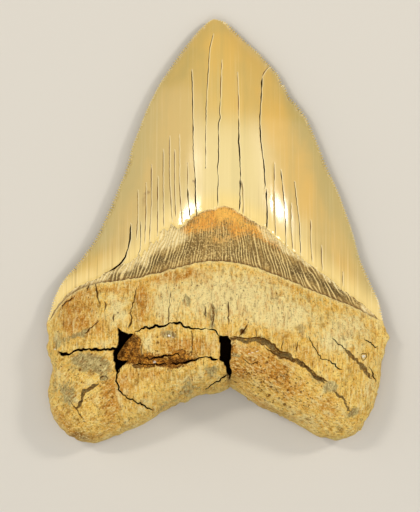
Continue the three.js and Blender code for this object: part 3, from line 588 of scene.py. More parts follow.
class Form:
    """The tooth's outline and its two faces as heights over the place seen from above."""

    def __init__(self, thickness):
        self.thickness = thickness
        self.left_edge = respace(spline(settle_rim(LEFT_EDGE)), count=400)
        self.right_edge = respace(spline(settle_rim(RIGHT_EDGE)), count=400)
        self.left_dome, self.right_dome = blurred(self.left_edge, 28), blurred(self.right_edge, 28)
        sections = [spline(settle_rim(s)) for s in (LEFT_ROOT, LEFT_BASE, RIGHT_BASE, RIGHT_ROOT)]
        rim = np.vstack([section[:-1] for section in sections] + [sections[-1][-1:]])
        self.root_rim = respace(rim, step=0.25)
        self.enamel_line = frayed(self.onto_surface(ENAMEL_LINE), 0.26, 31)
        self.root_line = frayed(self.onto_surface(ROOT_LINE), 0.16, 33)
        self.root_curve = respace(spline(ROOT_LINE), count=60)

    def across_crown(self, x, y):
        left = np.interp(-y, -self.left_dome[:, 1], self.left_dome[:, 0])
        right = np.interp(y, self.right_dome[:, 1], self.right_dome[:, 0])
        return (x - (left + right) / 2) / np.maximum(0.5, (right - left) / 2)

    def rim_distance(self, x, y):
        """Distance to the root's rim, rounded off where two sides are equally near."""
        exact, _ = path_distance(x, y, self.root_rim[::2], np.inf)
        step = np.linalg.norm(self.root_rim[2] - self.root_rim[0])
        pull = np.zeros(x.shape)
        for px, py in self.root_rim[::2]:
            pull += step / np.maximum(0.04, (x - px) ** 2 + (y - py) ** 2) ** 2
        rounded = (math.pi / 2 / np.maximum(1e-12, pull)) ** (1 / 3)
        return mix(exact, rounded, smooth((exact - 0.5) / 3.0))

    def root_share(self, x, y):
        return smooth((line_at(self.root_curve, x) - y) / ROOT_BLEND)

    def plain_lingual(self, x, y):
        """The crown's dome alone, close enough to settle the points that were read."""
        share = smooth((-10.0 - y) / ROOT_BLEND)
        dome = np.clip(1 - self.across_crown(x, y) ** 2, 0, 1) ** LINGUAL_FULLNESS
        edge = edge_height(from_tip(y))
        return mix(mix(edge, lingual_middle(from_tip(y)), dome),
                   self.thickness + root_top_below(np.abs(x)), share)

    def faces(self, x, y):
        """Heights of the lingual and the labial face, with the root's share of the form."""
        edge = edge_height(from_tip(y))
        base = np.clip(1 - self.across_crown(x, y) ** 2, 0, 1)
        lingual = mix(edge, lingual_middle(from_tip(y)), base**LINGUAL_FULLNESS)
        lingual += SWELLING * base * np.exp(-(((from_tip(y) - SWELLING_PLACE) / SWELLING_REACH) ** 2))
        labial = mix(edge, labial_middle(from_tip(y)), base**LABIAL_FULLNESS)
        share = self.root_share(x, y)
        some = np.nonzero(share > 0)[0]
        distance = self.rim_distance(x[some], y[some])
        round_in = np.sqrt(1 - (1 - np.minimum(1, distance / ROOT_ROUNDING)) ** 2)
        top = self.thickness + root_top_below(np.abs(x[some]))
        bottom = root_bottom(np.abs(x[some]))
        lingual[some] = mix(lingual[some], mix(edge[some], top, round_in), share[some])
        labial[some] = mix(labial[some], mix(edge[some], bottom, round_in), share[some])
        return lingual, labial, share

    def onto_surface(self, points):
        points = np.array(points, float)
        return settle(points, self.plain_lingual(*points.T))


# Cracks and gaps: what they do to the height, and the lines that the mesh follows

class Crack:
    """One crack: a jagged path with a width that wanders, dying out at both ends."""

    def __init__(self, width, depth, path, seed, kind):
        self.width, self.depth, self.seed, self.on_crown = width, depth, seed, kind.startswith("crown")
        line = respace(np.asarray(path, float), step=0.5)
        shake = value_noise(seed, np.arange(len(line)) * 0.8, np.zeros(len(line)))
        shake[[0, -1]] = 0
        self.path = line + left_normals(line) * (JAGS[kind] * shake)[:, None]

    def width_at(self, fraction):
        wander = value_noise(self.seed + 1, fraction * len(self.path) / 4, fraction * 0)
        ends = smooth(np.minimum(fraction, 1 - fraction) * len(self.path) / 4 + 0.2)
        return self.width * ends * (1 + 0.5 * wander)

    def lines(self):
        fraction = np.linspace(0, 1, len(self.path))
        half = left_normals(self.path) * (self.width_at(fraction) / 2)[:, None]
        lip = half + left_normals(self.path) * CROWN_LIP
        return [self.path, self.path + half, self.path - half] + [self.path + lip] * self.on_crown

    def measure(self, x, y):
        """How deep each point is cut, and 1 on the path, a half at the lips and 0 a width away."""
        distance, fraction = path_distance(x, y, self.path, 3 * self.width)
        width = np.maximum(0.02, self.width_at(fraction))
        cut = self.depth * width / self.width * np.clip(1 - 2 * distance / width, 0, 1)
        return cut, np.clip(1 - distance / width, 0, 1), distance - width / 2


class Reliefs:
    """All cracks of one face, measured together."""

    def __init__(self, form, lists, flat=False):
        self.kinds = {}
        for kind, (rows, first_seed) in lists.items():
            paths = [(w, d, np.array(p, float) if flat else form.onto_surface(p)) for w, d, p in rows]
            self.kinds[kind] = [Crack(w, d, p, first_seed + i, kind) for i, (w, d, p) in enumerate(paths)]

    def lines(self):
        return [line for cracks in self.kinds.values() for crack in cracks for line in crack.lines()]

    def measure(self, x, y):
        depth, lip, lit = np.zeros(x.shape), np.full(x.shape, np.inf), np.full(x.shape, np.inf)
        masks = {}
        for kind, cracks in self.kinds.items():
            mask = np.zeros(x.shape)
            for crack in cracks:
                cut, here, outside = crack.measure(x, y)
                depth = np.maximum(depth, cut)
                mask = np.maximum(mask, here)
                if kind != "groove":
                    lip = np.minimum(lip, outside)
                # Painted highlight: a pale band to the right of each crown crack, as if its lip caught the
                # light
                if crack.on_crown:
                    to_right = x > np.interp(-y, -crack.path[:, 1], crack.path[:, 0])
                    lit = np.where(to_right, np.minimum(lit, outside), lit)
            masks[kind] = mask
        masks["lip"] = np.exp(-np.maximum(lit, 0) / CROWN_LIP)
        return depth, lip, masks


# The mesh: a steep wall strip round the root, and triangles over what lies inside it

def serrated(edge, pitch, depth, rng):
    """The cutting edge's fine points: rounded teeth between valleys that reach inward."""
    length = np.linalg.norm(np.diff(edge, axis=0), axis=1).sum()
    teeth = round(length / pitch)
    points = respace(edge, count=teeth * POINTS_PER_SERRATION)
    place = np.arange(len(points))
    inward = np.array([1.0, 0.4, 0.0, 0.4])[place % POINTS_PER_SERRATION]
    tooth = place // POINTS_PER_SERRATION
    wear = (0.7 + 0.3 * rng.random(teeth + 1))[tooth] * (0.85
            + 0.35 * value_noise(5, tooth / 9.0, tooth * 0.0))
    ends = smooth(np.minimum(place, len(points) - 1 - place) / (6.0 * POINTS_PER_SERRATION))
    reach = depth * inward * wear * ends
    return points + left_normals(blurred(points, 8)) * reach[:, None]


def hexagon_grid(low, high, step, rng):
    rows = np.arange(low[1], high[1], step * math.sqrt(3) / 2)
    columns = np.arange(low[0], high[0], step)
    x = np.concatenate([columns + (step / 2 if i % 2 else 0) for i in range(len(rows))])
    y = np.repeat(rows, len(columns))
    jitter = rng.uniform(-0.12, 0.12, (2, len(x))) * step
    return np.column_stack([x + jitter[0], y + jitter[1]])


def fan_grid(form):
    """Points along the bourrelet's ribs, which fan out from a point on the crown."""
    angles = np.arange(-1.0, 1.0, RIB_FAN_STEP)
    reaches = np.arange(30.0, 95.0, RIB_ROW_STEP)
    a, r = np.meshgrid(angles, reaches)
    x = RIB_FAN_CENTRE[0] + np.sin(a) * r
    y = RIB_FAN_CENTRE[1] - np.cos(a) * r
    points = np.column_stack([x.ravel(), y.ravel()])
    return points[in_band(form, points[:, 0], points[:, 1])]


def in_band(form, x, y):
    return (y < line_at(form.enamel_line, x)) & (y > line_at(form.root_line, x))


def triangulate(boundary, lines, loose):
    """Triangles inside the boundary that keep every line. The boundary's points keep their order."""
    low, high = boundary.min(axis=0), boundary.max(axis=0)
    points = [boundary]
    edges = [(i, (i + 1) % len(boundary)) for i in range(len(boundary))]
    total = len(boundary)
    for line in lines:
        ok = inside(line[:, 0], line[:, 1], boundary)
        ok &= (line > low).all(axis=1) & (line < high).all(axis=1)
        ok &= nearest(line, boundary) > 0.3
        points.append(line)
        edges += [(total + i, total + i + 1) for i in range(len(line) - 1) if ok[i] and ok[i + 1]]
        points[-1] = np.where(ok[:, None], line, boundary[0])
        total += len(line)
    kept = np.vstack(points)
    for group, spacing in loose:
        group = group[nearest(group, kept) > 0.5 * spacing]
        group = group[inside(group[:, 0], group[:, 1], boundary)]
        points.append(group)
    everything = np.vstack(points)
    found = delaunay_2d_cdt([Vector(p) for p in everything], edges, [], 0, 1e-4, True)
    verts = np.array([(v[0], v[1]) for v in found[0]])
    faces = np.array(found[2])
    source = np.array([min(ids) if ids else -1 for ids in found[3]])
    on_rim = (source >= 0) & (source < len(boundary))
    risky = on_rim[faces].all(axis=1)
    centre = verts[faces].mean(axis=1)
    keep = np.ones(len(faces), bool)
    keep[risky] = inside(centre[risky, 0], centre[risky, 1], boundary)
    return verts, faces[keep], np.where(on_rim, source, -1)


class Builder:
    """Gathers vertices and faces."""

    def __init__(self):
        self.places, self.count = [], 0
        self.faces = []

    def add(self, points):
        self.places.append(points)
        first = self.count
        self.count += len(points)
        return np.arange(first, self.count)

    def quads(self, outer, inner, turned):
        """Two triangles between each two columns of neighbouring rings."""
        a, b, c, d = outer[:-1], outer[1:], inner[1:], inner[:-1]
        faces = np.vstack([np.column_stack([a, b, c]), np.column_stack([a, c, d])])
        self.faces.append(faces[:, ::-1] if turned else faces)

    def net(self, verts, faces, rim, rim_ids, turned):
        """A triangulation whose boundary points already exist."""
        ids = np.full(len(verts), -1)
        ids[rim >= 0] = rim_ids[rim[rim >= 0]]
        new = ids < 0
        ids[new] = self.add(verts[new])
        faces = ids[faces]
        flat = np.vstack(self.places)
        a, b, c = (flat[faces[:, k]] for k in range(3))
        area = (b[:, 0] - a[:, 0]) * (c[:, 1] - a[:, 1]) - (b[:, 1] - a[:, 1]) * (c[:, 0] - a[:, 0])
        faces[area < 0] = faces[area < 0][:, ::-1]
        self.faces.append(faces[:, ::-1] if turned else faces)


def outline_rings(form, pitch, depth, rng):
    """The rim in three stretches, and the way inward from each point of the root's stretch."""
    left = serrated(form.left_edge, pitch, depth, rng)
    right = serrated(form.right_edge, pitch, depth, rng)
    rim = form.root_rim
    normals = blurred(left_normals(rim), 22)
    normals /= np.linalg.norm(normals, axis=1)[:, None]
    inner = rim + normals * STRIP_REACH
    lengths = [np.linalg.norm(np.diff(line, axis=0), axis=1) for line in (rim, inner)]
    both = np.column_stack([rim, normals])
    spaced = respace(both, step=RIM_STEP, stretch=np.maximum(lengths[0], (lengths[0] + lengths[1]) / 2))
    root, inward = spaced[:, :2], spaced[:, 2:]
    shake = value_noise(9, np.arange(len(root)) * 0.45, np.zeros(len(root))) * 0.09
    shake[:3] = shake[-3:] = 0
    return left, root + inward * shake[:, None], right, inward


def face_net(builder, rings, edge_ids, lines, loose, turned):
    """Closes one face of the tooth inside the crown's edges and the innermost ring of the root."""
    left_ids, right_ids = edge_ids
    inner = rings[-1]
    first_column = np.array([ring[0] for ring in rings[1:]])
    last_column = np.array([ring[-1] for ring in rings[1:]])
    boundary_ids = np.concatenate([left_ids[:-1], [rings[0][0]], first_column[:-1], inner,
                                   last_column[:-1][::-1], [rings[0][-1]], right_ids[1:-1]])
    flat = np.vstack(builder.places)
    verts, faces, rim = triangulate(flat[boundary_ids][:, :2], lines, loose)
    builder.net(verts, faces, rim, boundary_ids, turned)


def gap_outlines(form):
    """Both gaps as closed lines with a ragged broken edge."""
    outlines = []
    for seed, polygon in ((35, LEFT_GAP), (36, RIGHT_GAP)):
        line = respace(form.onto_surface(polygon + polygon[:1]), step=0.4)[:-1]
        shake = value_noise(seed, np.arange(len(line)) * 0.7, np.zeros(len(line)))
        line = line + left_normals(line) * (0.2 * shake)[:, None]
        outlines.append(np.vstack([line, line[:1]]))
    return outlines


def net_points(form, reliefs, rng):
    """The loose points of the lingual face, with the spacing that each group keeps."""
    low, high = np.array([-53.0, -65.0]), np.array([53.0, 65.0])
    crown = hexagon_grid(low, high, CROWN_STEP, rng)
    crown = crown[crown[:, 1] > line_at(form.enamel_line, crown[:, 0])]
    root = hexagon_grid(low, high, ROOT_STEP, rng)
    root = root[root[:, 1] < line_at(form.root_line, root[:, 0])]
    gap = hexagon_grid(np.array([-33.0, -47.0]), np.array([6.0, -27.0]), GAP_STEP, rng)
    keep = np.zeros(len(gap), bool)
    for outline in gap_outlines(form):
        distance, _ = path_distance(gap[:, 0], gap[:, 1], outline, 2.0)
        keep |= inside(gap[:, 0], gap[:, 1], outline) | (distance < 0.5)
    gap = gap[keep]
    root = root[nearest(root, gap) > 0.4]
    return [(crown, CROWN_STEP), (root, ROOT_STEP), (fan_grid(form), 0.3), (gap, GAP_STEP)]


def pore_list(form, rng):
    """The pores that were read and many small ones, thickest in the right lobe and the lower root."""
    known = form.onto_surface([(x, y) for x, y, _ in PORES])
    pores = [(x, y, r) for (x, y), (_, _, r) in zip(known, PORES)]
    zones = [((13, -43), (11, 7), 230, 0.17, 0.34), ((24, -50), (12, 7), 130, 0.15, 0.3),
             ((-36, -46), (12, 13), 120, 0.15, 0.32), ((-16, -46), (10, 6), 70, 0.14, 0.28),
             ((0, -20), (42, 7), 130, 0.13, 0.26), ((36, -38), (11, 14), 80, 0.14, 0.26),
             ((-12, -34), (12, 4), 40, 0.13, 0.26)]
    for (cx, cy), (rx, ry), number, small, large in zones:
        spots = rng.normal(0, 0.55, (number, 2)) * (rx, ry) + (cx, cy)
        sizes = mix(small, large, rng.random(number) ** 2)
        pores += [(x, y, r) for (x, y), r in zip(spots, sizes)]
    return [p for p in pores if p[1] < line_at(form.root_line, p[0]) - 1.0]


def pore_points(pores):
    """A centre and a small ring for each pore that the mesh can show."""
    points = []
    for x, y, r in pores:
        if r < 0.2:
            continue
        points.append((x, y))
        points += [(x + r * math.cos(a), y + r * math.sin(a)) for a in np.arange(6) * math.pi / 3]
    return np.array(points)


def measure_pores(x, y, pores):
    """Depth of the pores, and 1 in a pore's middle, a half at its lip and 0 outside."""
    depth, mask = np.zeros(x.shape), np.zeros(x.shape)
    order = np.argsort(y)
    rows = y[order]
    for px, py, r in pores:
        first, last = np.searchsorted(rows, [py - 2 * r, py + 2 * r])
        near = order[first:last]
        near = near[np.abs(x[near] - px) < 2 * r]
        d = np.hypot(x[near] - px, y[near] - py)
        depth[near] = np.maximum(depth[near], 0.9 * r * np.clip(1 - (d / r) ** 2, 0, 1))
        mask[near] = np.maximum(mask[near], np.clip(1 - d / (2 * r), 0, 1))
    return depth, mask


def stain(x, y, spots, ragged):
    """How strong a stain is: soft spots with ragged edges."""
    wx = x + ragged * (0.9 * value_noise(21, x / 2.6, y / 2.6) + 0.4 * value_noise(22, x / 0.9, y / 0.9))
    wy = y + ragged * (0.9 * value_noise(23, x / 2.6, y / 2.6) + 0.4 * value_noise(24, x / 0.9, y / 0.9))
    clear = np.ones(x.shape)
    for sx, sy, rx, ry, turn, strength in spots:
        c, s = math.cos(math.radians(turn)), math.sin(math.radians(turn))
        u, v = (wx - sx) * c + (wy - sy) * s, (wy - sy) * c - (wx - sx) * s
        clear *= 1 - strength * np.exp(-((u / rx) ** 2 + (v / ry) ** 2))
    return 1 - clear


def rib_lines(x, y, spacing):
    """Which of the bourrelet's ribs a point is on, as a number that grows by one a rib, and how far along."""
    angle = np.arctan2(x - RIB_FAN_CENTRE[0], RIB_FAN_CENTRE[1] - y)
    reach = np.hypot(x - RIB_FAN_CENTRE[0], y - RIB_FAN_CENTRE[1])
    across = angle * RIB_FAN_REACH / spacing
    wander = (0.6 * value_noise(41, across / 2.5, reach / 5.0)
              + 0.35 * value_noise(45, across / 1.2, reach / 2.5))
    return across + wander, reach


def fibre_noise(seed, x, y, turn):
    """Noise drawn out along the root's fibres, which run down but for a turn in degrees."""
    c, s = math.cos(math.radians(turn)), math.sin(math.radians(turn))
    return value_noise(seed, (x * c + y * s) / 0.8, (y * c - x * s) / 4.0)


def lobe_masks(x, y):
    """1 on the right lobe below its groove and on the left lobe below its crack, where the fibres turn."""
    groove = np.interp(x, [4, 15, 24, 33, 40], [-32, -33.5, -39, -46, -54])
    right = smooth((groove - y) / 3.0) * smooth((x - 3.0) / 2.0)
    return right, smooth((-35.0 - y) / 2.0) * smooth((-28.5 - x) / 2.0)


def middle_plate_sheen(form, x, y):
    """1 on the enamel plates between the second and the fifth long crack, where the crown gets a painted
    sheen.
    """
    bounds = []
    for index in (1, 5):
        path = form.onto_surface(CROWN_CRACKS[index][2])
        bounds.append(np.interp(-y, -path[:, 1], path[:, 0]))
    return smooth((x - bounds[0]) / 0.4) * smooth((bounds[1] - x) / 0.4) * smooth((40.0 - y) / 16.0)


def vertex_normals(places, faces):
    a, b, c = (places[faces[:, k]] for k in range(3))
    across = np.cross(b - a, c - a)
    total = np.zeros(places.shape)
    for k in range(3):
        np.add.at(total, faces[:, k], across)
    return total / np.maximum(1e-12, np.linalg.norm(total, axis=1))[:, None]


def tooth_surface(form, sizes, rng):
    """The whole closed surface: places, faces, which face is what, and the named masks."""
    left, root, right, inward = outline_rings(form, sizes["serration_pitch"], sizes["serration_depth"], rng)
    builder = Builder()
    left_ids = builder.add(left)
    root_ids = np.concatenate([[left_ids[-1]], builder.add(root[1:-1])])
    right_ids = builder.add(right[:-1])
    root_ids = np.append(root_ids, right_ids[0])
    right_ids = np.append(right_ids, left_ids[0])
    rim_count = builder.count

    top_rings, bottom_rings = [root_ids], [root_ids]
    last_angle = math.acos(1 - STRIP_REACH / ROOT_ROUNDING)
    for rings, number, turned in ((top_rings, WALL_RINGS, False), (bottom_rings, UNDER_RINGS, True)):
        for k in range(1, number + 1):
            reach = ROOT_ROUNDING * (1 - math.cos(last_angle * k / number))
            rings.append(builder.add(root + inward * reach))
            builder.quads(rings[-2], rings[-1], turned)
        if not turned:
            top_strip_end = builder.count

    lingual = Reliefs(form, {"crack": (ROOT_CRACKS, 100), "crown_crack": (CROWN_CRACKS, 200),
                             "seam": (ROOT_SEAMS + GROOVE_EDGES, 300), "crown_seam": (CROWN_SEAMS, 400),
                             "groove": (GROOVES, 500)})
    gaps = gap_outlines(form)
    pores = pore_list(form, rng)
    edges = list(gaps)
    for line, sink in ((form.enamel_line, -0.22), (form.root_line, 0.22)):
        edges += [line, line + [0, sink]]
    near_rim = [root + inward * d for d in (2.2, 2.42, 2.68, 2.98, 3.33, 3.72, 4.15)]
    near_edges = [line + left_normals(line) * 0.35 for line in (left, right)]
    lines = edges + lingual.lines()
    loose = [(line, 0.2) for line in near_edges] + [(pore_points(pores), 0.2)]
    loose += [(line, 0.3) for line in near_rim] + net_points(form, lingual, rng)
    face_net(builder, top_rings, (left_ids, right_ids), lines, loose, False)
    bottom_first = builder.count

    labial = Reliefs(form, {"crown_crack": (LABIAL_CRACKS, 600)}, flat=True)
    low, high = np.array([-53.0, -65.0]), np.array([53.0, 65.0])
    labial_line = respace(spline(LABIAL_LINE), step=0.6)
    under = [(line, 0.3) for line in near_edges] + [(hexagon_grid(low, high, LABIAL_STEP, rng), LABIAL_STEP)]
    face_net(builder, bottom_rings, (left_ids, right_ids), [labial_line] + labial.lines(), under, True)

    flat = np.vstack(builder.places)
    faces = np.vstack(builder.faces)
    x, y = flat[:, 0].copy(), flat[:, 1].copy()
    number = np.arange(len(flat))
    is_rim = number < rim_count
    wall_top = (number >= rim_count) & (number < top_strip_end)
    wall_bottom = (number >= top_strip_end) & (number < top_strip_end + UNDER_RINGS * len(root))
    is_under = wall_bottom | (number >= bottom_first)
    is_top = ~is_under

    top_height, under_height, share = form.faces(x, y)
    height = np.where(is_under, under_height, top_height)
    height[is_rim] = edge_height(from_tip(y[is_rim]))

    masks = {}
    t = np.nonzero(is_top)[0]
    tx, ty = x[t], y[t]
    depth, lip, cracks = lingual.measure(tx, ty)
    void = np.zeros(tx.shape)
    for gap in gaps:
        distance, _ = path_distance(tx, ty, gap, 3.0)
        signed = np.where(inside(tx, ty, gap), np.minimum(distance, 3.0), -np.minimum(distance, 3.0))
        void = np.maximum(void, np.clip(0.5 + signed / 0.8, 0, 1))
        depth = np.maximum(depth, sizes["gap_depth"] * np.clip(signed / 0.45, 0, 1))
    broken = form.onto_surface(BROKEN_END)
    distance, _ = path_distance(tx, ty, np.vstack([broken, broken[:1]]), 3.0)
    slope = smooth((broken[:, 0].max() - tx) / np.ptp(broken[:, 0]))
    broken_end = inside(tx, ty, broken) * np.clip(np.minimum(distance, 3.0) / 0.5, 0, 1)
    slump = broken_end * (0.3 + BROKEN_END_DROP * slope)
    slump += broken_end * (0.7 * value_noise(46, tx / 1.1, ty / 1.5)
                           + 0.5 * value_noise(47, tx / 0.5, ty / 0.5))
    pore_depth, pore_mask = measure_pores(tx, ty, pores)
    band = in_band(form, tx, ty)
    to_enamel, _ = path_distance(tx, ty, form.enamel_line, 30.0)
    to_root, _ = path_distance(tx, ty, form.root_line, 30.0)
    to_enamel, to_root = np.minimum(to_enamel, 30.0), np.minimum(to_root, 30.0)
    recess = band * np.clip(np.minimum(to_enamel / 0.7, to_root / 0.18), 0, 1)
    root_side = ty < line_at(form.root_line, tx)
    crown_side = ~band & ~root_side
    phase, reach = rib_lines(tx, ty, sizes["rib_spacing"])
    ribs = np.cos(2 * math.pi * phase) * (0.6 + 0.6 * value_noise(42, phase * 0.9, reach / 3.5))
    rib_fade = np.clip(to_enamel / 2.5, 0, 1) * (0.35 + 0.65 * smooth((2.0 - ty) / 5.0))
    ledge = root_side * (0.4 + 0.15 * value_noise(44, tx / 1.3, ty / 1.3)) * np.exp(-to_root / 1.6)
    plates = crown_side * (0.03 * np.exp(-np.maximum(lip, 0) / 0.7)
                           + COLLAR_DEPTH * np.exp(-to_enamel / COLLAR_REACH))
    waves = crown_side * 0.015 * value_noise(43, tx / 1.6, ty / 30.0)
    height[t] += ledge + waves - plates - depth - slump - recess * sizes["bourrelet_depth"]
    height[t] += recess * rib_fade * 0.1 * ribs

    b = np.nonzero(~is_top)[0]
    under_depth, _, under_cracks = labial.measure(x[b], y[b])
    height[b] += under_depth
    on_line, _ = path_distance(x[b], y[b], labial_line, 2.0)
    under_root = y[b] < line_at(labial_line, x[b])
    height[b] -= 0.2 * (~under_root) * np.clip(on_line / 0.5, 0, 1)

    # Root texture stands along the normals of the surface without its cracks: the steep walls have it too,
    # and it doesn't close a crack
    places = np.column_stack([x, y, height])
    uncracked = places.copy()
    uncracked[t, 2] += depth
    normals = vertex_normals(uncracked, faces)
    rough = np.zeros(len(places))
    rough[t] = root_side * smooth(to_root / 1.2) + 0.25 * (wall_top[t] & ~root_side)
    rough[b] = under_root * np.clip(on_line / 1.5, 0, 1)
    rough *= smooth(share * 6 + 0.15)
    grain = sizes["grain_depth"]
    right_lobe, left_lobe = lobe_masks(x, y)
    lumps = value_noise(51, x / 9.0, y / 9.0, height / 9.0) * 3.0
    knobs = value_noise(52, x / 2.2, y / 2.8, height / 2.2) * 1.6
    fibres = mix(fibre_noise(53, x, y, 0.0), fibre_noise(54, x, y, RIGHT_LOBE_TURN), right_lobe)
    fibres = mix(fibres, fibre_noise(55, x, y, LEFT_LOBE_TURN), left_lobe)
    grit = value_noise(56, x / 0.8, y / 0.8, height / 0.8)
    texture = knobs + 1.3 * fibres + grit
    push = rough * grain * (lumps + texture)
    push[t] -= pore_depth * rough[t]
    places += normals * push[:, None]
    places[:, 2] = np.maximum(0.0, places[:, 2])
    middle = (places.max(axis=0) + places.min(axis=0)) / 2
    places[:, :2] -= middle[:2]

    def whole(top_values, under_values):
        values = np.zeros(len(places))
        values[t], values[b] = top_values, under_values
        return values

    crown_cracks = np.maximum(cracks["crown_crack"], cracks["crack"])
    masks["crack"] = whole(crown_cracks, under_cracks["crown_crack"])
    masks["seam"] = whole(np.maximum(cracks["seam"], cracks["crown_seam"]), 0)
    masks["sediment"] = whole(cracks["groove"], 0)
    masks["void"] = whole(void, 0)
    masks["pore"] = whole(pore_mask, 0)
    # Where the painted highlight right of each crown crack goes
    masks["lip"] = whole(cracks["lip"], 0)
    masks["across"] = np.abs(form.across_crown(x, y))
    to_rim, _ = path_distance(x, y, form.root_rim[::2], 4.0)
    masks["rim"] = np.exp(-to_rim)
    masks["rib_phase"] = whole(phase, x[b])
    masks["rib_along"] = whole(reach, y[b])
    # Where the painted highlight along the serrated edge goes
    masks["edge"] = (is_rim & ~np.isin(number, root_ids)).astype(float)
    # Where the painted sheen on the middle plates goes
    masks["plate_sheen"] = whole(middle_plate_sheen(form, tx, ty), 0)
    # Painted shade and highlight: darker in the root's hollows and paler on its crests
    masks["relief_shading"] = -texture
    masks["right_lobe"], masks["left_lobe"] = right_lobe, left_lobe
    masks["below_enamel"] = whole(to_enamel / 30.0, 1.0)
    masks["above_root"] = whole(to_root / 30.0, 1.0)
    named = {"cream": CREAM_STAINS, "ochre": OCHRE_STAINS, "grey": GREY_STAINS, "brown": BROWN_STAINS,
             "orange": ORANGE_STAINS, "gold": GOLD_STAINS, "band_pale": BAND_PALE_STAINS,
             "band_dark": BAND_DARK_STAINS, "band_net": BAND_NET_STAINS, "rust": RUST_STAINS,
             "glint": GLINTS}
    for name, spots in named.items():
        points = np.array([(s[0], s[1]) for s in spots])
        moved = form.onto_surface(points)
        spots = [(px, py) + tuple(s[2:]) for (px, py), s in zip(moved, spots)]
        ragged = 0.15 if name == "glint" else 1.0
        masks[name] = whole(stain(tx, ty, spots, ragged), under_stain(name, x[b], y[b]))
    masks["rust"][t] = np.maximum(masks["rust"][t], broken_end)

    centre = flat[faces].mean(axis=1)
    under_face = is_under[faces].any(axis=1)
    kind = np.zeros(len(faces), int)
    top_band = in_band(form, centre[:, 0], centre[:, 1])
    top_root = centre[:, 1] < line_at(form.root_line, centre[:, 0])
    low_root = centre[:, 1] < line_at(labial_line, centre[:, 0])
    kind[~under_face & top_band] = 1
    kind[~under_face & top_root & ~top_band] = 2
    kind[under_face & low_root] = 2
    return places * MM, faces, kind, masks


def under_stain(name, x, y):
    """The labial face does not show in any view that was read, so its stains are only noise."""
    strength = {"cream": 0.6, "ochre": 0.6, "grey": 0.4, "brown": 0.2}.get(name, 0.0)
    seed = 60 + len(name)
    field = value_noise(seed, x / 11.0, y / 9.0) + 0.5 * value_noise(seed + 1, x / 3.5, y / 3.5)
    return strength * smooth(field * 0.8 + 0.4)


# Colours and materials

def linear(code):
    """An sRGB hex colour as linear red, green and blue."""
    parts = [int(code[i:i + 2], 16) / 255 for i in (1, 3, 5)]
    return tuple(p / 12.92 if p <= 0.04045 else ((p + 0.055) / 1.055) ** 2.4 for p in parts)


def add_node(tree, kind, inputs=None, output=None, **settings):
    """Adds a node, sets it up, gives its inputs values or links, and returns an output: the first in use."""
    node = tree.nodes.new("ShaderNode" + kind)
    for name, value in settings.items():
        setattr(node, name, value)
    for name, value in (inputs or {}).items():
        socket = node.inputs[name]
        if isinstance(value, bpy.types.NodeSocket):
            tree.links.new(value, socket)
        else:
            socket.default_value = (*value, 1.0) if socket.type == "RGBA" else value
    return node.outputs[output] if output else next(found for found in node.outputs if found.enabled)


class Shading:
    """A material being made: patterns, and layers of colour that lie where masks and patterns say."""

    def __init__(self, name, roughness, ior, gloss=0.5):
        self.material = bpy.data.materials.new(name)
        self.material.use_nodes = True
        self.finish = self.material.node_tree.nodes["Principled BSDF"]
        self.roughness, self.gloss = roughness, gloss
        self.finish.inputs["Roughness"].default_value = roughness
        self.finish.inputs["Specular IOR Level"].default_value = gloss
        self.finish.inputs["IOR"].default_value = ior
        self.add = partial(add_node, self.material.node_tree)
        self.place = self.add("TexCoord", output="Object")

    def pattern(self, size, length=1.0, turn=0.0, detail=3.0, rough=0.55, vector=None):
        """Noise with features of that size, drawn out to so many times that length down the tooth, or in a
        way that turns from it, in degrees."""
        settings = {"Vector": vector or self.place, "Scale": (1.0, length, max(1.0, length / 2)),
                    "Rotation": (0.0, 0.0, math.radians(turn))}
        place = self.add("Mapping", settings, vector_type="TEXTURE")
        return self.add("TexNoise", {"Vector": place, "Scale": 1.0 / size, "Detail": detail,
                                    "Roughness": rough})

    def fibres(self, size, length, detail=3.0):
        """Noise drawn out down the root, and along each lobe within the lobes."""
        found = self.pattern(size, length, detail=detail)
        for name, turn in (("right_lobe", RIGHT_LOBE_TURN), ("left_lobe", LEFT_LOBE_TURN)):
            turned = self.pattern(size, 1.0 + 0.3 * length, turn, detail)
            amount = self.add("Attribute", output="Fac", attribute_name=name)
            found = self.add("Mix", {0: amount, 2: found, 3: turned})
        return found

    def ragged(self, mask, pattern, reach):
        """A mask whose soft edge is broken up by a pattern."""
        shift = self.add("MapRange", {"Value": pattern, "From Min": 0.3, "From Max": 0.7, "To Min": -reach,
                                      "To Max": reach})
        mask = self.add("Attribute", output="Fac", attribute_name=mask)
        return self.add("Math", {0: mask, 1: shift}, operation="ADD")

    def share(self, *conditions):
        """How far all conditions hold. Each names a mask or a pattern, where it starts, where it is full and,
        if that isn't 1, how much it then gives."""
        total = None
        for source, start, full, *most in conditions:
            if isinstance(source, str):
                source = self.add("Attribute", output="Fac", attribute_name=source)
            span = {"Value": source, "From Min": start, "From Max": full, "To Max": most[0] if most else 1.0}
            part = self.add("MapRange", span, interpolation_type="SMOOTHSTEP")
            total = part if total is None else self.add("Math", {0: total, 1: part}, operation="MULTIPLY")
        return total

    def layer(self, base, colour, *conditions):
        """Lays a colour over the base where all conditions hold."""
        return self.add("Mix", {0: self.share(*conditions), 6: base, 7: colour}, data_type="RGBA")

    def relief(self, depth, *parts):
        """Unevenness of that depth from (pattern, weight) parts."""
        total = 0.0
        for pattern, weight in parts:
            total = self.add("Math", {0: pattern, 1: weight, 2: total}, operation="MULTIPLY_ADD")
        return self.add("Bump", {"Height": total, "Distance": depth})

    def done(self, colour, normal, dark):
        """Ends the material. Open cracks are dark and give no gloss."""
        dull = {"Value": dark, "To Min": self.roughness, "To Max": 1.0}
        faint = {"Value": dark, "To Min": self.gloss, "To Max": 0.0}
        for name, socket in (("Base Color", colour), ("Normal", normal),
                             ("Roughness", self.add("MapRange", dull)),
                             ("Specular IOR Level", self.add("MapRange", faint))):
            self.material.node_tree.links.new(socket, self.finish.inputs[name])
        return self.material


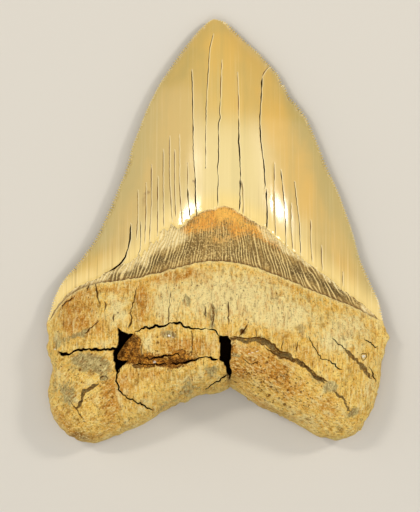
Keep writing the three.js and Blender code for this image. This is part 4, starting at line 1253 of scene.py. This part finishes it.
def enamel_material(colours):
    """Fossil enameloid, polished by wear: glossy, with long soft streaks and hairlines down the crown."""
    s = Shading("polished_fossil_enameloid", 0.16, 1.62)
    wide = s.pattern(2.5 * MM, 24.0, detail=4.0)
    fine = s.pattern(0.6 * MM, 50.0)
    hair = s.pattern(0.5 * MM, 90.0, detail=2.0)
    cloud = s.pattern(8.0 * MM, 2.0, detail=2.0)
    colour = s.layer(colours.enamel_tan, colours.enamel_gold, (s.ragged("ochre", cloud, 0.2), 0.0, 1.0, 0.9))
    colour = s.layer(colour, colours.enamel_khaki, (s.ragged("grey", cloud, -0.2), 0.0, 1.0, 0.8))
    colour = s.layer(colour, colours.enamel_cream, ("cream", 0.0, 1.0, 0.95))
    colour = s.layer(colour, colours.enamel_khaki, ("across", 0.82, 1.0, 0.5))
    colour = s.layer(colour, colours.enamel_khaki, (wide, 0.46, 0.75, 0.35))
    colour = s.layer(colour, colours.enamel_pale, (fine, 0.52, 0.8, 0.15))
    # Painted sheen on the middle plates
    colour = s.layer(colour, colours.enamel_pale, ("plate_sheen", 0.0, 1.0, 0.4))
    # Painted sheen: brighter enamel just above the bourrelet, where it curves up toward the lamps
    colour = s.layer(colour, colours.enamel_collar_sheen, ("below_enamel", 0.22, 0.03, 0.85), (cloud, -0.4, 0.7))
    flank = ("below_enamel", 0.5, 0.1), ("cream", 1.0, 0.4)
    colour = s.layer(colour, colours.enamel_hair, (hair, 0.56, 0.7, 0.35), *flank)
    colour = s.layer(colour, colours.enamel_pale, (hair, 0.44, 0.32, 0.25), *flank)
    colour = s.layer(colour, colours.brown_and_shade, ("brown", 0.2, 0.8, 0.7))
    # Painted highlight: a pale line along the serrated edge, where the serrations catch the light
    colour = s.layer(colour, colours.enamel_pale, ("edge", 0.0, 0.7, 0.5))
    # Painted highlight: pale to the right of each crown crack
    colour = s.layer(colour, colours.enamel_pale, ("lip", 0.2, 0.9, 0.8))
    colour = s.layer(colour, colours.brown_and_shade, ("seam", 0.42, 0.68, 0.9), (fine, 0.22, 0.48))
    # Painted shade inside the crown's cracks
    dark = s.share(("crack", 0.44, 0.58))
    colour = s.add("Mix", {0: dark, 6: colour, 7: colours.crown_crack}, data_type="RGBA")
    # The worn lower edge is dull, so that it gives no row of glints
    dull = s.add("Math", {0: dark, 1: s.share(("below_enamel", 0.016, 0.006, 0.6))}, operation="MAXIMUM")
    return s.done(colour, s.relief(0.04 * MM, (wide, 0.6), (fine, 0.2)), dull)


def bourrelet_material(colours):
    """Bare dentine of the bourrelet: dull, stained, with dark furrows between fine pale ribs, and netted
    where the ribs break up."""
    s = Shading("ribbed_stained_dentine", 0.6, 1.54, 0.25)
    phase = s.add("Attribute", output="Fac", attribute_name="rib_phase")
    along = s.add("Attribute", output="Fac", attribute_name="rib_along")
    lines = s.add("CombineXYZ", {0: phase, 1: along})
    turns = s.add("Math", {0: phase, 1: 2 * math.pi}, operation="MULTIPLY")
    wave = s.add("Math", {0: turns}, operation="COSINE")
    gaps = s.pattern(1.8, 5.0, vector=lines)
    hairs = s.pattern(0.35, 9.0, detail=2.0, vector=lines)
    net = s.pattern(0.5 * MM, detail=2.0, rough=0.6)
    patch = s.pattern(4.0 * MM, detail=4.0)
    colour = s.layer(colours.band_brown, colours.band_tan, (patch, 0.35, 0.65))
    colour = s.layer(colour, colours.band_furrow, ("band_dark", 0.1, 0.9, 0.8))
    colour = s.layer(colour, colours.band_furrow, (wave, 0.1, -0.9, 0.4), ("band_net", 1.0, 0.2))
    colour = s.layer(colour, colours.band_furrow, (hairs, 0.5, 0.7, 0.5))
    colour = s.layer(colour, colours.band_rib, (wave, 0.2, 0.9, 0.95), (gaps, 0.36, 0.54),
                     ("band_net", 1.2, 0.4))
    colour = s.layer(colour, colours.band_rib, (net, 0.54, 0.66, 0.8), ("band_net", -0.8, 0.8))
    colour = s.layer(colour, colours.band_furrow, (net, 0.46, 0.34, 0.8), ("band_net", -0.8, 0.8))
    stained = s.layer(colours.band_orange, colours.band_gold, (hairs, 0.4, 0.62, 0.8))
    stained = s.layer(stained, colours.band_gold, ("gold", 0.1, 0.8, 0.9))
    stained = s.layer(stained, colours.band_brown, (hairs, 0.46, 0.3, 0.5))
    stained = s.layer(stained, colours.band_brown, (net, 0.44, 0.34, 0.3))
    colour = s.layer(colour, stained, (s.ragged("orange", net, 0.3), 0.15, 0.95))
    pale = s.layer(colours.band_rib, colours.enamel_pale, (wave, -0.6, 0.8))
    pale = s.layer(pale, colours.band_brown, (net, 0.46, 0.34, 0.4))
    colour = s.layer(colour, pale, (s.ragged("band_pale", hairs, 0.2), 0.1, 0.7, 0.85))
    colour = s.layer(colour, colours.enamel_pale, ("below_enamel", 0.016, 0.005, 0.6), (net, 0.45, 0.55))
    # Painted shadow: dark dots just under the enamel's edge
    colour = s.layer(colour, colours.brown_and_shade, ("below_enamel", 0.008, 0.0, 0.4), (net, 0.56, 0.46))
    # Painted shadow: a dark line along the foot of the band, above the root's ledge
    colour = s.layer(colour, colours.brown_and_shade, ("above_root", 0.03, 0.0, 0.8), (net, 0.3, 0.6))
    # Painted shade inside open cracks
    dark = s.share(("crack", 0.46, 0.66))
    colour = s.add("Mix", {0: dark, 6: colour, 7: colours.crack_dark}, data_type="RGBA")
    return s.done(colour, s.relief(0.3 * MM, (wave, 0.25), (hairs, 0.6), (net, 0.8)), dark)


def root_material(colours):
    """Weathered root bone: matt, fibrous and porous, cream to ochre, grey where sediment has stayed."""
    s = Shading("weathered_root_bone", 0.8, 1.5, 0.15)
    cloud = s.pattern(6.0 * MM, detail=4.0)
    mottle = s.pattern(1.5 * MM, detail=5.0, rough=0.65)
    speck = s.pattern(0.5 * MM, detail=2.0, rough=0.6)
    fibre = s.fibres(0.9 * MM, 5.0)
    thread = s.fibres(0.5 * MM, 6.0, 2.0)
    colour = s.layer(colours.root_tan, colours.root_cream, (mottle, 0.3, 0.62))
    colour = s.layer(colour, colours.root_pale, (s.ragged("cream", mottle, 0.25), 0.15, 0.85, 0.9))
    colour = s.layer(colour, colours.root_ochre, (s.ragged("ochre", cloud, 0.2), 0.1, 0.8),
                     (mottle, 0.9, 0.3))
    colour = s.layer(colour, colours.root_grey, (s.ragged("grey", mottle, 0.2), 0.3, 0.7, 0.9))
    colour = s.layer(colour, colours.root_ochre, (fibre, 0.5, 0.7, 0.5))
    # Painted shade in the root's hollows and painted highlight on its crests
    colour = s.layer(colour, colours.brown_and_shade, ("relief_shading", 0.5, 2.6, 0.5))
    colour = s.layer(colour, colours.root_pale, ("relief_shading", -0.5, -2.2, 0.5))
    colour = s.layer(colour, colours.brown_and_shade, ("brown", 0.2, 0.8, 0.8))
    colour = s.layer(colour, colours.brown_and_shade, (speck, 0.55, 0.72, 0.55))
    colour = s.layer(colour, colours.root_pale, (speck, 0.45, 0.3, 0.55))
    colour = s.layer(colour, colours.brown_and_shade, (thread, 0.55, 0.72, 0.5))
    colour = s.layer(colour, colours.root_pale, (thread, 0.46, 0.32, 0.65))
    colour = s.layer(colour, colours.root_rim, ("rim", 0.0, 1.0, 0.35))
    # Painted highlight: pale along the root's ledge just under the bourrelet
    colour = s.layer(colour, colours.root_pale, ("above_root", 0.03, 0.0, 0.9), (speck, 0.35, 0.55))
    silt = s.layer(colours.silt, colours.brown_and_shade, (mottle, 0.42, 0.6, 0.85))
    silt = s.layer(silt, colours.root_tan, (speck, 0.46, 0.3, 0.6))
    colour = s.layer(colour, silt, ("sediment", 0.4, 0.62, 0.9))
    colour = s.layer(colour, colours.brown_and_shade, ("sediment", 0.32, 0.48), ("sediment", 0.62, 0.5),
                     (mottle, 0.4, 0.55))
    rust = s.layer(colours.root_ochre, colours.rust, (mottle, 0.4, 0.54))
    rust = s.layer(rust, colours.brown_and_shade, (mottle, 0.45, 0.58, 0.85))
    rust = s.layer(rust, colours.crack_dark, (speck, 0.53, 0.64, 0.8))
    rust = s.layer(rust, colours.root_tan, (speck, 0.46, 0.34, 0.8))
    colour = s.layer(colour, rust, (s.ragged("rust", speck, 0.2), 0.2, 0.7, 0.95))
    # Dark seams, and the painted shadow lines along the grooves' upper edges
    colour = s.layer(colour, colours.brown_and_shade, ("seam", 0.45, 0.75, 0.85), (thread, 0.2, 0.5))
    colour = s.layer(colour, colours.brown_and_shade, ("pore", 0.45, 0.8, 0.8))
    # Painted glints on mineral grains, and a pale scratch
    colour = s.layer(colour, colours.glint_white, ("glint", 0.35, 0.75), (speck, 0.6, 0.5))
    # Painted shade: near-black inside open cracks and the two gaps, on top of the shade their depth gives
    open_crack, void = s.share(("crack", 0.48, 0.68)), s.share(("void", 0.45, 0.75))
    dark = s.add("Math", {0: open_crack, 1: void}, operation="MAXIMUM")
    colour = s.add("Mix", {0: dark, 6: colour, 7: colours.crack_dark}, data_type="RGBA")
    return s.done(colour, s.relief(1.05 * MM, (speck, -0.8), (mottle, 0.9), (fibre, -0.8), (thread, -0.6)),
                  dark)


def floor_material(colours):
    """A plain pale table, matt, so that it gives the eye nothing but a soft shadow."""
    s = Shading("plain_pale_table", 0.8, 1.45)
    s.finish.inputs["Base Color"].default_value = (*colours.table, 1.0)
    return s.material


# What a user can change

class FossilSizes(PropertyGroup):
    thickness: FloatProperty(
        name="Thickness", description="At the middle of the root", default=0.026, unit="LENGTH", precision=4)
    bourrelet_depth: FloatProperty(
        name="Bourrelet depth", description="How far the dark band lies below the enamel", default=0.0006,
        unit="LENGTH", precision=5)
    serration_pitch: FloatProperty(
        name="Serration pitch", description="From one serration to the next", default=0.0008, unit="LENGTH",
        precision=5)
    serration_depth: FloatProperty(
        name="Serration depth", description="From a serration's top to its valley", default=0.001,
        unit="LENGTH", precision=5)
    gap_depth: FloatProperty(
        name="Gap depth", description="Of the two gaps beside the broken block", default=0.009, unit="LENGTH",
        precision=4)
    rib_spacing: FloatProperty(
        name="Rib spacing", description="Between the bourrelet's ribs", default=0.00082, unit="LENGTH",
        precision=5)
    grain_depth: FloatProperty(
        name="Root texture", description="Height of the root's finer unevenness", default=0.00014,
        unit="LENGTH", precision=5)


def colour_property(name, description, code):
    return FloatVectorProperty(name=name, description=description, subtype="COLOR", min=0, max=1,
                               default=linear(code))


class FossilColours(PropertyGroup):
    enamel_cream: colour_property("Enamel cream", "The middle of the crown", "#DDC885")
    enamel_gold: colour_property("Enamel gold", "The tip and the crown's right side", "#DEB45C")
    enamel_tan: colour_property("Enamel tan", "The ground of the crown's sides", "#CBAD64")
    enamel_khaki: colour_property("Enamel khaki", "The crown's thin margins", "#B4A364")
    # Also painted light: highlights beside the crown's cracks and along its serrated edge, and sheen on the
    # middle plates
    enamel_pale: colour_property("Enamel pale", "Beside cracks and on the middle plates", "#F4E4B0")
    # Painted sheen along the bourrelet's upper edge, not a colour of the enamel
    enamel_collar_sheen: colour_property("Enamel glow", "Along the bourrelet", "#EFD486")
    band_orange: colour_property("Band orange", "The stain under the chevron's point", "#DA9236")
    band_gold: colour_property("Band gold", "The stain's lighter ribs", "#F5BC56")
    band_brown: colour_property("Band brown", "The bourrelet between ribs and furrows", "#8F7038")
    band_tan: colour_property("Band tan", "The bourrelet's lighter ground", "#BC9A56")
    band_furrow: colour_property("Band furrow", "The bourrelet's furrows", "#54411A")
    band_rib: colour_property("Band rib", "The bourrelet's ribs", "#E8CE8C")
    root_cream: colour_property("Root cream", "The root's lighter ground", "#FFDB78")
    root_pale: colour_property("Root pale", "The upper middle of the root", "#FFECA8")
    # Also painted highlight on the root's crests and on its ledge under the bourrelet
    root_tan: colour_property("Root tan", "The root's darker ground", "#EEB64A")
    root_ochre: colour_property("Root ochre", "The root's orange-brown stains", "#CC872A")
    root_grey: colour_property("Root grey", "Sediment in the root's surface", "#AC9C68")
    root_rim: colour_property("Root rim", "The root's outermost edge", "#EAD58C")
    silt: colour_property("Silt", "Sediment in the wide grooves", "#8E7C50")
    rust: colour_property("Rust", "The broken end of the cracked block", "#AC702C")
    enamel_hair: colour_property("Enamel hair", "Hairlines near the crown's base", "#9C7A3C")
    # Painted shade inside the crown's cracks
    crown_crack: colour_property("Crown crack", "Inside the crown's cracks", "#2E1C04")
    # Dark brown for stains, seams, specks and pores, and also painted shade in hollows and painted shadow
    # lines at the band's edges and the grooves
    brown_and_shade: colour_property("Seam brown", "Closed cracks and dark specks", "#6E420A")
    # Painted shade inside open cracks and gaps; in the broken end it also marks real dark specks
    crack_dark: colour_property("Crack dark", "Inside open cracks and gaps", "#221206")
    # Painted glints where mineral grains catch the light
    glint_white: colour_property("Glint white", "Mineral grains in the root", "#FFFBEC")
    table: colour_property("Table", "The plain table", "#CDCAC4")


class FOSSIL_OT_build_tooth(Operator):
    """Build the fossil tooth: crown, bourrelet and root as one closed surface"""

    bl_idname = "fossil.build_tooth"
    bl_label = "Build Tooth"

    def execute(self, context):
        sizes = {name: getattr(context.scene.fossil_sizes, name) / MM
                 for name in FossilSizes.__annotations__}
        rng = np.random.default_rng(SEED)
        form = Form(sizes["thickness"])
        places, faces, kind, masks = tooth_surface(form, sizes, rng)
        mesh = bpy.data.meshes.new("tooth_surface")
        mesh.from_pydata(places.tolist(), [], faces.tolist())
        for name, values in masks.items():
            layer = mesh.attributes.new(name, "FLOAT", "POINT")
            layer.data.foreach_set("value", np.asarray(values, np.float32))
        colours = context.scene.fossil_colours
        for material in (enamel_material(colours), bourrelet_material(colours), root_material(colours)):
            mesh.materials.append(material)
        mesh.polygons.foreach_set("material_index", kind)
        mesh.polygons.foreach_set("use_smooth", np.ones(len(faces), bool))
        mesh.set_sharp_from_angle(angle=math.radians(48))
        mesh.validate()
        mesh.update()
        piece = bpy.data.objects.new("tooth_surface", mesh)
        context.scene.collection.objects.link(piece)
        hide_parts("tooth")
        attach(piece, "root")
        return {"FINISHED"}


class FOSSIL_OT_build_stage(Operator):
    """Set up the pale table, the soft lights and the camera above"""

    bl_idname = "fossil.build_stage"
    bl_label = "Build Stage"

    def execute(self, context):
        scene = context.scene
        bpy.ops.mesh.primitive_plane_add(size=4.0, location=(0, 0, 0))
        table = context.object
        table.name = "pale_table"
        table.data.materials.append(floor_material(scene.fossil_colours))

        lamps = [("left_softbox", (-0.505, 0.285, 0.815), 0.95, (0.2, 0.08), 2.0, 180, "#FFF8EC"),
                 ("right_softbox", (0.675, 0.301, 0.673), 0.95, (0.15, 0.1), 2.5, 180, "#FFF8EC"),
                 ("left_panel", (-0.86, 0.15, 0.5), 1.0, (1.0, 1.0), 2.15, 140, "#FFF9F0"),
                 ("right_panel", (0.86, 0.1, 0.5), 1.0, (1.0, 1.0), 1.4, 140, "#FFF9F0"),
                 ("overhead_fill", (0.0, -0.3, 0.95), 1.6, (2.0, 2.0), 6.05, 90, "#FFFCF6")]
        for name, way, distance, size, power, spread, tint in lamps:
            data = bpy.data.lights.new(name, "AREA")
            data.shape, (data.size, data.size_y) = "RECTANGLE", size
            data.energy, data.spread, data.color = power, math.radians(spread), linear(tint)
            lamp = bpy.data.objects.new(name, data)
            way = Vector(way).normalized()
            across = Vector((0, 1, 0)).cross(way).normalized()
            lamp.location = way * distance
            lamp.rotation_euler = Matrix((across, way.cross(across), way)).transposed().to_euler()
            scene.collection.objects.link(lamp)

        world = scene.world or bpy.data.worlds.new("studio")
        scene.world = world
        world.use_nodes = True
        backdrop = world.node_tree.nodes.get("Background")
        backdrop.inputs["Color"].default_value = (*linear("#F4F1EA"), 1.0)
        backdrop.inputs["Strength"].default_value = 0.24

        camera_data = bpy.data.cameras.new("overhead_camera")
        focal_pixels = PIXELS_PER_MM * (EYE_HEIGHT - READING_PLANE)
        camera_data.sensor_width = SENSOR
        camera_data.lens = focal_pixels * SENSOR / PICTURE_HEIGHT
        camera = bpy.data.objects.new("overhead_camera", camera_data)
        camera.location = (EYE_X * MM, EYE_Y * MM, EYE_HEIGHT * MM)
        scene.collection.objects.link(camera)
        scene.camera = camera
        scene.view_settings.view_transform = "Standard"
        return {"FINISHED"}


class FOSSIL_PT_panel(Panel):
    """Lists what can be built and changed"""

    bl_idname = "FOSSIL_PT_panel"
    bl_label = "Fossil Tooth"
    bl_space_type = "VIEW_3D"
    bl_region_type = "UI"
    bl_category = "Fossil"

    def draw(self, context):
        layout = self.layout
        for operator in (FOSSIL_OT_build_tooth, FOSSIL_OT_build_stage):
            layout.operator(operator.bl_idname)
        for group, names in ((context.scene.fossil_sizes, FossilSizes.__annotations__),
                             (context.scene.fossil_colours, FossilColours.__annotations__)):
            for name in names:
                layout.prop(group, name)


CLASSES = (FossilSizes, FossilColours, FOSSIL_OT_build_tooth, FOSSIL_OT_build_stage, FOSSIL_PT_panel)


def register():
    for entry in CLASSES:
        bpy.utils.register_class(entry)
    bpy.types.Scene.fossil_sizes = PointerProperty(type=FossilSizes)
    bpy.types.Scene.fossil_colours = PointerProperty(type=FossilColours)


def unregister():
    del bpy.types.Scene.fossil_colours
    del bpy.types.Scene.fossil_sizes
    for entry in reversed(CLASSES):
        bpy.utils.unregister_class(entry)


def main():
    register()
    bpy.ops.fossil.build_tooth()
    bpy.ops.fossil.build_stage()
    bpy.context.view_layer.update()


if __name__ == "__main__":
    main()
